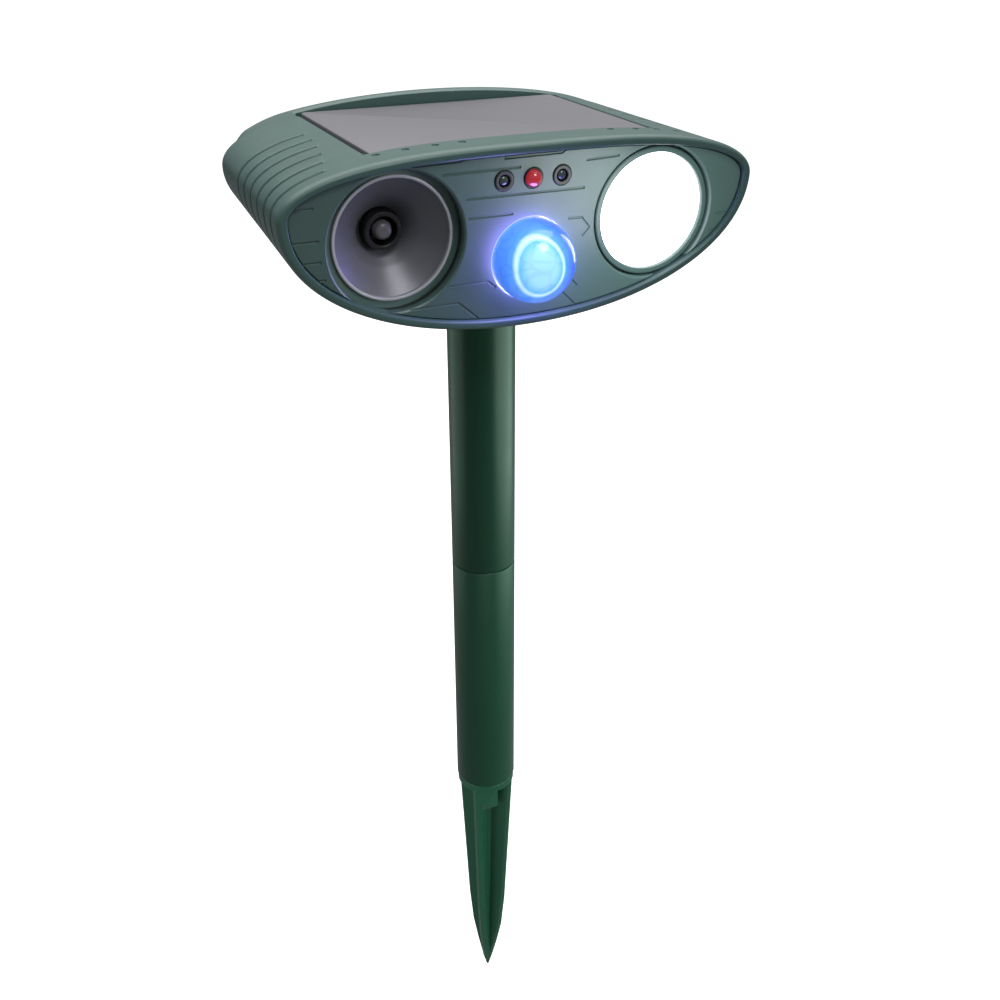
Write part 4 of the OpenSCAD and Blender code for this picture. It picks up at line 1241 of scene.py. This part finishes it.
@dataclass
class SolarTop:
    """The laminated solar panel: one slab of rounded glass."""

    width: float = 90.0
    length: float = 65.5
    thick: float = 2.6
    hinge: Point2 = PLACES.panel_front
    tilt_deg: float = -2.53

    def spin(self, p: np.ndarray) -> np.ndarray:
        """Lay panel points (x, back, up) in the head's axes."""
        c, s = math.cos(math.radians(self.tilt_deg)), math.sin(math.radians(self.tilt_deg))
        return np.stack([p[:, 0], p[:, 1] * c - p[:, 2] * s, p[:, 1] * s + p[:, 2] * c], -1)

    def build(self) -> bpy.types.Object:
        """Shape and dress the panel."""
        w, h = self.width / 2, self.length
        outline = rounded([(-w, 0), (w, 0), (w, h), (-w, h)], [1.2] * 4, True, 6)
        flat = np.array(outline)
        mid = np.array([0.0, h / 2])
        layers = [(-self.thick, 0.0), (-0.45, 0.0), (-0.15, 0.1), (0.0, 0.4)]
        half = np.array([w, h / 2])
        points = [np.column_stack([mid + (flat - mid) * (1 - shrink / half), np.full(len(flat), z)])
                  for z, shrink in layers]
        count = len(flat)
        faces: list[Sequence[int]] = list(grid_faces(len(layers), count))
        faces += [list(range(count))[::-1], [(len(layers) - 1) * count + i for i in range(count)]]
        glass = new_object("glass", np.vstack(points) * MM, faces, 20)
        move_mesh(dress(glass, Look.GLASS), (0.0, *self.hinge), self.spin)
        glass.name = "solar_glass"
        return place(glass, "head", "solar_glass", "solar_panel")


@dataclass
class Stake:
    """The sectional stake: two tubes and a spike with crossed fins."""

    tube_r: float = 11.5
    bore: float = 9.7
    joint: float = 99.4
    plug: float = 22.0
    fin: float = 3.4
    blade: tuple[Point2, ...] = ((11.2, -3), (7.9, -70), (6.4, -86), (4.2, -97.5), (2.0, -107), (0.5, -112.7))

    def tubes(self) -> list[bpy.types.Object]:
        """Shape the two tubes, each with softened ends."""
        r, b, joint, tip = self.tube_r, self.bore, self.joint, self.joint + self.plug
        lower = rounded([(r, 0.05), (r, joint), (b - 0.06, joint + 0.4), (b - 0.06, tip),
                         (b - 1.86, tip), (b - 1.86, 98.4), (b, 98.4), (b, 0.05)],
                        [0.7, 0.7, 0.2, 0.8, 0.3, 0.2, 0.2, 0.2])
        upper = rounded([(r, joint + 0.15), (r, 230), (0, 230), (0, 227.4), (b, 227.4), (b, joint + 0.15)],
                        [0.7, 0.8, 0, 0, 1.0, 0.3])
        low = dress(upright_turned("tube_lower", lower), Look.STAKE)
        place(low, "lower_stake", "stake_green", "lower_tube")
        high = dress(upright_turned("tube_upper", upper), Look.STAKE)
        return [low, place(high, "upper_stake", "stake_green", "upper_tube")]

    def blade_pair(self, turn: float) -> bpy.types.Object:
        """Two opposite fins as one blade, its outer edges thinned and rounded."""
        half = self.fin / 2
        c, s = math.cos(math.radians(turn)), math.sin(math.radians(turn))
        verts, faces = [], []
        rows = [(11.2, -0.05), *self.blade]
        for r, z in rows:
            edge = min(half * 0.55, r * 0.45)
            thick = min(half, r * 0.9)
            section = [(-r, -edge * 0.5), (-r + edge, -thick), (r - edge, -thick), (r, -edge * 0.5),
                       (r, edge * 0.5), (r - edge, thick), (-r + edge, thick), (-r, edge * 0.5)]
            verts += [(u * c - v * s, u * s + v * c, z) for u, v in section]
        faces += grid_faces(len(rows), 8)
        faces += [tuple(range(8))[::-1], tuple((len(rows) - 1) * 8 + i for i in range(8))]
        return new_object("blade", np.array(verts) * MM, faces, 25)

    def spike(self) -> bpy.types.Object:
        """Shape the spike: crossed blades, core, shoulder, plug and the small lug."""
        body = self.blade_pair(45)
        profile = rounded([(0, -95), (2.2, -95), (3.4, -8), (11.2, -3), (11.2, 0.0), (self.bore - 0.06, 0.0),
                           (self.bore - 0.06, self.plug), (0, self.plug)],
                          [0, 0.5, 3, 0.5, 0.3, 0.1, 0.8, 0], False)
        core = upright_turned("core", [(max(r, 0.0), z) for r, z in profile])
        lug_profile = [(-6.2, -8.4), (1.6, -8.4), (1.6, -3.0), (-6.2, -3.0)]
        verts = [(x, y, z) for z in (-13.8, -2.4) for x, y in lug_profile]
        lug = new_object("lug", np.array(verts) * MM, [*grid_faces(2, 4), (3, 2, 1, 0), (4, 5, 6, 7)])
        combine(body, [self.blade_pair(135), core, softened(lug, 0.4)], Cut.JOIN, 25)
        body.name = "spike_body"
        return place(dress(body, Look.STAKE), "spike", "stake_green", "stake_spike")


@dataclass
class ScrewSet:
    """Pan-head screws with a cross recess, seated at a depth."""

    shank_r: float = 1.45
    head_r: float = 2.7
    head_h: float = 1.9

    def one(self, x: float, z: float, seat: float, length: float) -> bpy.types.Object:
        """One screw with a domed head and a cross recess."""
        tip, top = seat - length, seat + self.head_h
        profile = rounded([(0, tip), (0.5, tip), (self.shank_r, tip + 1.2), (self.shank_r, seat),
                           (self.head_r, seat), (self.head_r, seat + 1.2), (1.6, top), (0, top)],
                          [0, 0, 0.2, 0.1, 0.2, 0.9, 1.2, 0], False)
        screw = turned("screw", [(max(r, 0.0), d) for r, d in profile], (x, z), False, 40)
        for w, h in ((1.5, 0.32), (0.32, 1.5)):
            combine(screw, [block("slot", (x - w, top - 1.0, z - h), (x + w, top + 1, z + h))])
        return dress(screw, Look.STEEL)


@dataclass
class RearControls:
    """Ribbed dials, the rubber flap over the charging port, and the battery door."""

    dials: tuple[float, float] = PLACES.dials
    dial_z: float = PLACES.dial_z
    foot: float = 82.3
    tall: float = 7.5
    radius: float = 10.0
    usb: Point2 = PLACES.usb
    hinge: Point2 = PLACES.flap_pin
    bay: tuple[Point2, Point2] = PLACES.bay
    ear: Point2 = PLACES.ear

    def knob(self, name: str, x: float, node: str, body: str) -> bpy.types.Object:
        """One dial with a skirt, scalloped sides, a dished top and a pointer line."""
        f, r, top = self.foot, self.radius, self.foot + self.tall
        profile = rounded([(3.0, f), (r, f), (r, f + 2), (r - 1.1, f + 2.2), (r - 1.3, top), (r - 2.6, top),
                           (r - 3.2, top - 0.5), (0, top - 0.5), (0, f + 5), (3.0, f + 5)],
                          [0.2, 0.4, 0.6, 0.4, 0.9, 0.3, 0.4, 0, 0, 0.2])
        knob = turned(name, profile, (x, self.dial_z), True, 120)
        ribs = grown(carrier("ribs"), ribs_tree(), {
            "Count": 18, "Circle radius": (r - 0.6) * MM, "Rib radius": 0.9 * MM, "Height": 6.5 * MM})
        move_mesh(ribs, (x, f + 2.6 + 3.25, self.dial_z), back_facing)
        line = block("line", (x - 0.5, top - 0.9, self.dial_z + 2.4), (x + 0.5, top + 1, self.dial_z + 8.2))
        combine(knob, [ribs, line], Cut.AWAY, 34)
        return place(dress(knob, Look.BLACK), body, "black_plastic", node)

    def pin_bar(self, name: str, radius: float, reach: float, count: int) -> bpy.types.Object:
        """Round bar along the flap's pin, to a reach on either side of its middle."""
        angles = np.linspace(0, 2 * math.pi, count, endpoint=False)
        arc = [(self.hinge[0] + radius * math.cos(a), self.hinge[1] + radius * math.sin(a)) for a in angles]
        ends = (self.usb[0] - reach, self.usb[0] + reach)
        return loft(name, [[(x, d, z) for d, z in arc] for x in ends])

    def flap(self) -> bpy.types.Object:
        """Rubber flap with its plug, knuckle and finger lip."""
        ux, uz = self.usb
        hd, hz = self.hinge
        plate = softened(block("usb_flap", (ux - 7, 81.8, uz - 4.4), (ux + 7, 83.3, uz + 4.2)), 0.5)
        plug = softened(block("plug", (ux - 4.8, 80.6, uz - 1.7), (ux + 4.8, 81.95, uz + 1.5)), 0.3)
        neck = block("neck", (ux - 5.6, hd - 1.3, uz + 4), (ux + 5.6, hd + 0.2, hz))
        lip = softened(block("lip", (ux - 3, 83.2, uz - 4.4), (ux + 3, 84.6, uz - 3.2)), 0.35)
        combine(plate, [plug, neck, lip, self.pin_bar("knuckle", 1.4, 5.6, 32)], Cut.JOIN)
        combine(plate, [self.pin_bar("hole", 0.75, 9.0, 24)])
        return place(dress(plate, Look.RUBBER), "usb_flap", "black_rubber", "usb_cover")

    def door(self) -> list[bpy.types.Object]:
        """Battery door with a screw ear and grip ribs, and its screw."""
        (x0, z0), (x1, z1) = self.bay
        corners = [(x0 - 1.2, z0 - 1.2), (x1 + 1.2, z0 - 1.2), (x1 + 1.2, z1 + 1.2), (x0 - 1.2, z1 + 1.2)]
        outline = rounded(corners, [1.6] * 4, True, 6)
        layers = [(82.8, 0.0), (84.4, 0.0), (84.68, 0.12), (84.8, 0.4)]
        cx, cz = (x0 + x1) / 2, (z0 + z1) / 2
        half = np.array([(x1 - x0) / 2 + 1.2, (z1 - z0) / 2 + 1.2])
        sections = []
        for d, shrink in layers:
            flat = np.array([cx, cz]) + (np.array(outline) - np.array([cx, cz])) * (1 - shrink / half)
            sections.append([(float(x), d, float(z)) for x, z in flat])
        door = loft("door_panel", sections, 20)
        ribs = grown(carrier("grips"), strips_tree(), {
            "Count": 5, "Pitch": 1.6 * MM, "Width": 0.8 * MM, "Length": 10 * MM, "Height": 1.2 * MM})
        move_mesh(softened(ribs, 0.2), (x1 - 4.4, 84.8, cz),
                  lambda p: np.stack([p[:, 0], p[:, 2], p[:, 1]], -1))
        combine(door, [bar("ear", *self.ear, 82.8, 84.8, 3.2), ribs], Cut.JOIN, 20)
        combine(door, [bar("hole", *self.ear, 70, 95, 1.6, 32)], Cut.AWAY, 20)
        place(dress(door, Look.HOUSING), "door", "housing_green", "battery_door")
        screw = ScrewSet().one(*self.ear, 84.82, 9)
        screw.name = "door_screw"
        return [door, place(screw, "door", "screw_steel", "battery_door_screw")]

    def build(self) -> list[bpy.types.Object]:
        """Shape and dress every rear control."""
        made = [self.knob("dial_frequency", self.dials[0], "frequency_knob", "frequency_dial"),
                self.knob("dial_sensitivity", self.dials[1], "sensitivity_knob", "sensitivity_dial"),
                self.flap()]
        return made + self.door()


@dataclass
class BatteryBay:
    """Three wrapped cells on wound contact springs."""

    cells: tuple[float, float, float] = (22.7, 37.5, 52.3)
    height: float = 7.0
    foot: float = 31.6
    radius: float = 7.1
    long: float = 49.0

    def build(self) -> list[bpy.types.Object]:
        """Shape and dress the cells and the springs."""
        wraps = []
        for x in self.cells:
            r, d0, d1 = self.radius, self.foot, self.foot + self.long
            skin = rounded([(0, d0 + 0.2), (r - 1.4, d0 + 0.2), (r - 1.0, d0), (r, d0), (r, d1 - 1.0),
                            (r - 1.6, d1 - 1.0), (r - 1.9, d1 - 1.25), (2.9, d1 - 1.25)],
                           [0, 0.1, 0.2, 0.5, 0.6, 0.2, 0.1, 0], False)
            wrap = turned("wrap", [*skin, (0.0, d1 - 1.25)], (x, self.height), False, 64)
            wraps.append(dress(wrap, Look.WRAP))
            nub = rounded([(0, d1 - 1.3), (2.7, d1 - 1.3), (2.7, d1), (0, d1)], [0, 0, 0.5, 0], False)
            wraps.append(dress(turned("nub", nub, (x, self.height), False, 40), Look.TIN))
        cells = place(joined("battery_set", wraps), "head", "cell_wrap", "battery_cells")
        points = [(x, 28.3, self.height) for x in self.cells]
        coil = grown(carrier("coils", points), coil_tree(), {
            "Foot radius": 4.6 * MM, "Top radius": 2.4 * MM, "Length": 2.9 * MM, "Wire radius": 0.35 * MM,
            "Turns": 3.0, "Lean": math.radians(AXES.lean_deg - 90)})
        z0, z1 = self.height - 6, self.height + 6
        plates = [block("plate", (x - 6, 27.64, z0), (x + 6, 28.02, z1)) for x in self.cells]
        springs = joined("spring_set", [dress(o, Look.TIN) for o in (coil, *plates)])
        return [cells, place(springs, "head", "metal_bright", "battery_springs")]


@dataclass
class InnerParts:
    """Finishes of the frame's own nodes that stay in view or inside."""

    looks: tuple[tuple[Look, tuple[str, ...]], ...] = (
        (Look.RUBBER, ("face_seal", "solar_seal", "dial_seals", "battery_door_seal")),
        (Look.BLACK, ("speaker_driver", "pir_retainer", "board_parts", "frequency_switch")),
        (Look.STEEL, ("cup_screws", "usb_cover_pin", "usb_socket")),
        (Look.REFLECTOR, ("strobe_reflector",)),
        (Look.CHIP, ("strobe_leds",)),
        (Look.WHITE_BOARD, ("strobe_board",)),
        (Look.GREEN_BOARD, ("front_board", "main_board", "dial_board", "usb_board")),
        (Look.TIN, ("pir_sensor", "battery_contacts")),
        (Look.POT, ("sensitivity_pot",)),
        (Look.BRASS, ("frequency_shaft", "sensitivity_shaft")),
        (Look.WIRE, ("solar_leads", "speaker_leads", "battery_leads")))

    def dress_all(self) -> int:
        """Give each node its finish.

        Returns:
            How many nodes were dressed.
        """
        count = 0
        for look, nodes in self.looks:
            for node in nodes:
                dress(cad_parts[node], look)
                count += 1
        return count


@dataclass(frozen=True)
class Lamp:
    """A soft rectangular light."""

    name: str
    place_at: Point3
    aim: Point3
    size: Point2
    power: float
    colour: Colour = (1.0, 1.0, 1.0)
    only: tuple[str, ...] = ()


STAKE_PIECES = ("tube_upper", "tube_lower", "spike_body")


@dataclass
class Studio:
    """Camera, soft lights, the lamps' own spill and a plain pale floor."""

    camera_at: Point3 = (-0.1506, -0.3363, 0.3150)
    camera_deg: Point3 = (62.55, 0.15, -25.16)
    lens: float = 41.57
    floor_z: float = -0.1134
    floor_reach: float = 30.0
    floor_seen: float = 0.9
    floor_hidden: float = 0.3
    floor_glow: float = 0.78
    strobe_spill_at: Point3 = (32.0, -30.0, 9.0)
    strobe_spill_power: float = 0.095
    strobe_spill_size: float = 22.0
    world_colour: Colour = (0.93, 0.96, 1.0)
    world_strength: float = 0.32
    lamps: tuple[Lamp, ...] = (
        Lamp("top_softbox", (0.1, 0.35, 1.2), (0.0, 0.0, 0.2), (1.6, 1.2), 14.5),
        Lamp("front_fill", (0.1, -0.8, 1.15), (0.0, 0.0, 0.2), (0.5, 0.45), 5.6),
        Lamp("left_strip", (-0.346, 0.2, 0.0), (0.0, 0.0, 0.03), (0.5, 0.45), 1.0, (0.7, 1.0, 0.86),
             STAKE_PIECES),
        Lamp("right_strip", (0.346, -0.2, 0.0), (0.0, 0.0, 0.03), (0.62, 0.45), 4.3, (0.72, 1.0, 0.87),
             STAKE_PIECES),
        Lamp("lower_fill", (-0.15, -0.45, 0.1), (0.0, 0.0, 0.05), (0.4, 0.4), 0.9, only=("tube_lower",)),
        Lamp("spike_fill", (0.15, -0.42, 0.0), (0.0, 0.0, -0.06), (0.3, 0.2), 1.5, only=("spike_body",)),
        Lamp("spike_side", (-0.42, -0.1, 0.0), (0.0, 0.0, -0.06), (0.3, 0.2), 2.2, only=("spike_body",)),
        Lamp("horn_key", (0.25, -0.35, 0.29), (-0.0415, -0.03, 0.23), (0.16, 0.16), 1.0, only=("horn_cup",)))

    def camera(self) -> None:
        """Set the camera at the chosen angle."""
        data = bpy.data.cameras.new("camera")
        data.lens, data.sensor_width = self.lens, 36.0
        data.clip_start, data.clip_end = 0.01, 50.0
        obj = bpy.data.objects.new("camera", data)
        obj.location = self.camera_at
        obj.rotation_euler = [math.radians(a) for a in self.camera_deg]
        bpy.context.scene.collection.objects.link(obj)
        bpy.context.scene.camera = obj

    def lights(self) -> None:
        """Place the soft lights."""
        for lamp in self.lamps:
            data = bpy.data.lights.new(lamp.name, "AREA")
            data.shape = "RECTANGLE"
            data.size, data.size_y = lamp.size
            data.energy, data.color = lamp.power, lamp.colour
            obj = bpy.data.objects.new(lamp.name, data)
            obj.location = lamp.place_at
            aim = Vector(lamp.aim) - Vector(lamp.place_at)
            obj.rotation_euler = aim.to_track_quat("-Z", "Y").to_euler()
            obj.visible_camera = False
            if lamp.only:
                obj.light_linking.receiver_collection = self.group(lamp.only)
            bpy.context.scene.collection.objects.link(obj)

    @staticmethod
    def group(names: Sequence[str]) -> bpy.types.Collection:
        """Collection of the pieces that a lamp shines on."""
        made = bpy.data.collections.new("lit_" + names[0])
        for name in names:
            made.objects.link(bpy.data.objects[name])
        return made

    def spill(self) -> None:
        """Light that the strobe throws on the face round it."""
        data = bpy.data.lights.new("strobe_spill", "POINT")
        data.energy, data.shadow_soft_size = self.strobe_spill_power, self.strobe_spill_size * MM
        obj = bpy.data.objects.new("strobe_spill", data)
        obj.location = AXES.to_frame(np.array(self.strobe_spill_at))
        obj.visible_camera = False
        obj.light_linking.receiver_collection = self.group(("face_plate", "strobe_ring", "lamp_rings"))
        bpy.context.scene.collection.objects.link(obj)

    def world(self) -> None:
        """Even pale surroundings."""
        world = bpy.data.worlds.new("surroundings")
        world.use_nodes = True
        back = world.node_tree.nodes["Background"]
        back.inputs["Color"].default_value = (*self.world_colour, 1.0)
        back.inputs["Strength"].default_value = self.world_strength
        bpy.context.scene.world = world
        bpy.context.scene.view_settings.view_transform = "Standard"

    def floor(self) -> None:
        """Wide pale floor under the spike's tip."""
        reach = self.floor_reach
        corners = [(-reach, -reach), (reach, -reach), (reach, reach), (-reach, reach)]
        mesh = bpy.data.meshes.new("floor")
        mesh.from_pydata([(x, y, self.floor_z) for x, y in corners], [], [(0, 1, 2, 3)])
        obj = bpy.data.objects.new("floor", mesh)
        bpy.context.scene.collection.objects.link(obj)
        made = bpy.data.materials.new("pale_floor")
        made.use_nodes = True
        tree = made.node_tree
        seen = wired(tree, "ShaderNodeLightPath").outputs["Is Camera Ray"]
        tone = wired(tree, "ShaderNodeMapRange", {
            "Value": seen, "To Min": self.floor_hidden, "To Max": self.floor_seen})
        feed(tree, tree.nodes["Principled BSDF"], {
            "Roughness": 0.9, "Specular IOR Level": 0.1, "Emission Color": (1.0, 1.0, 1.0, 1.0),
            "Base Color": tone.outputs["Result"], "Emission Strength": product(tree, seen, self.floor_glow)})
        mesh.materials.append(made)

    def build(self) -> None:
        """Set up everything round the object."""
        self.world()
        self.floor()
        self.camera()
        self.lights()
        self.spill()


def main() -> None:
    """Build every sub-assembly in order, dress the rest and set the studio."""
    logging.basicConfig(level=logging.INFO, format="%(name)s %(message)s")
    HousingShell().build()
    FacePanel().build()
    SolarTop().build()
    SpeakerUnit().build()
    StrobeUnit().build()
    SensorUnit().build()
    IndicatorRow().build()
    stake = Stake()
    stake.spike()
    stake.tubes()
    RearControls().build()
    BatteryBay().build()
    ties = [ScrewSet().one(x, z, 11.5, 8) for x, z in HousingShell().ties]
    place(joined("tie_screws", ties), "head", "screw_steel", "housing_screws")
    LOG.info("%d nodes of the frame dressed", InnerParts().dress_all())
    Studio().build()


if __name__ == "__main__":
    main()
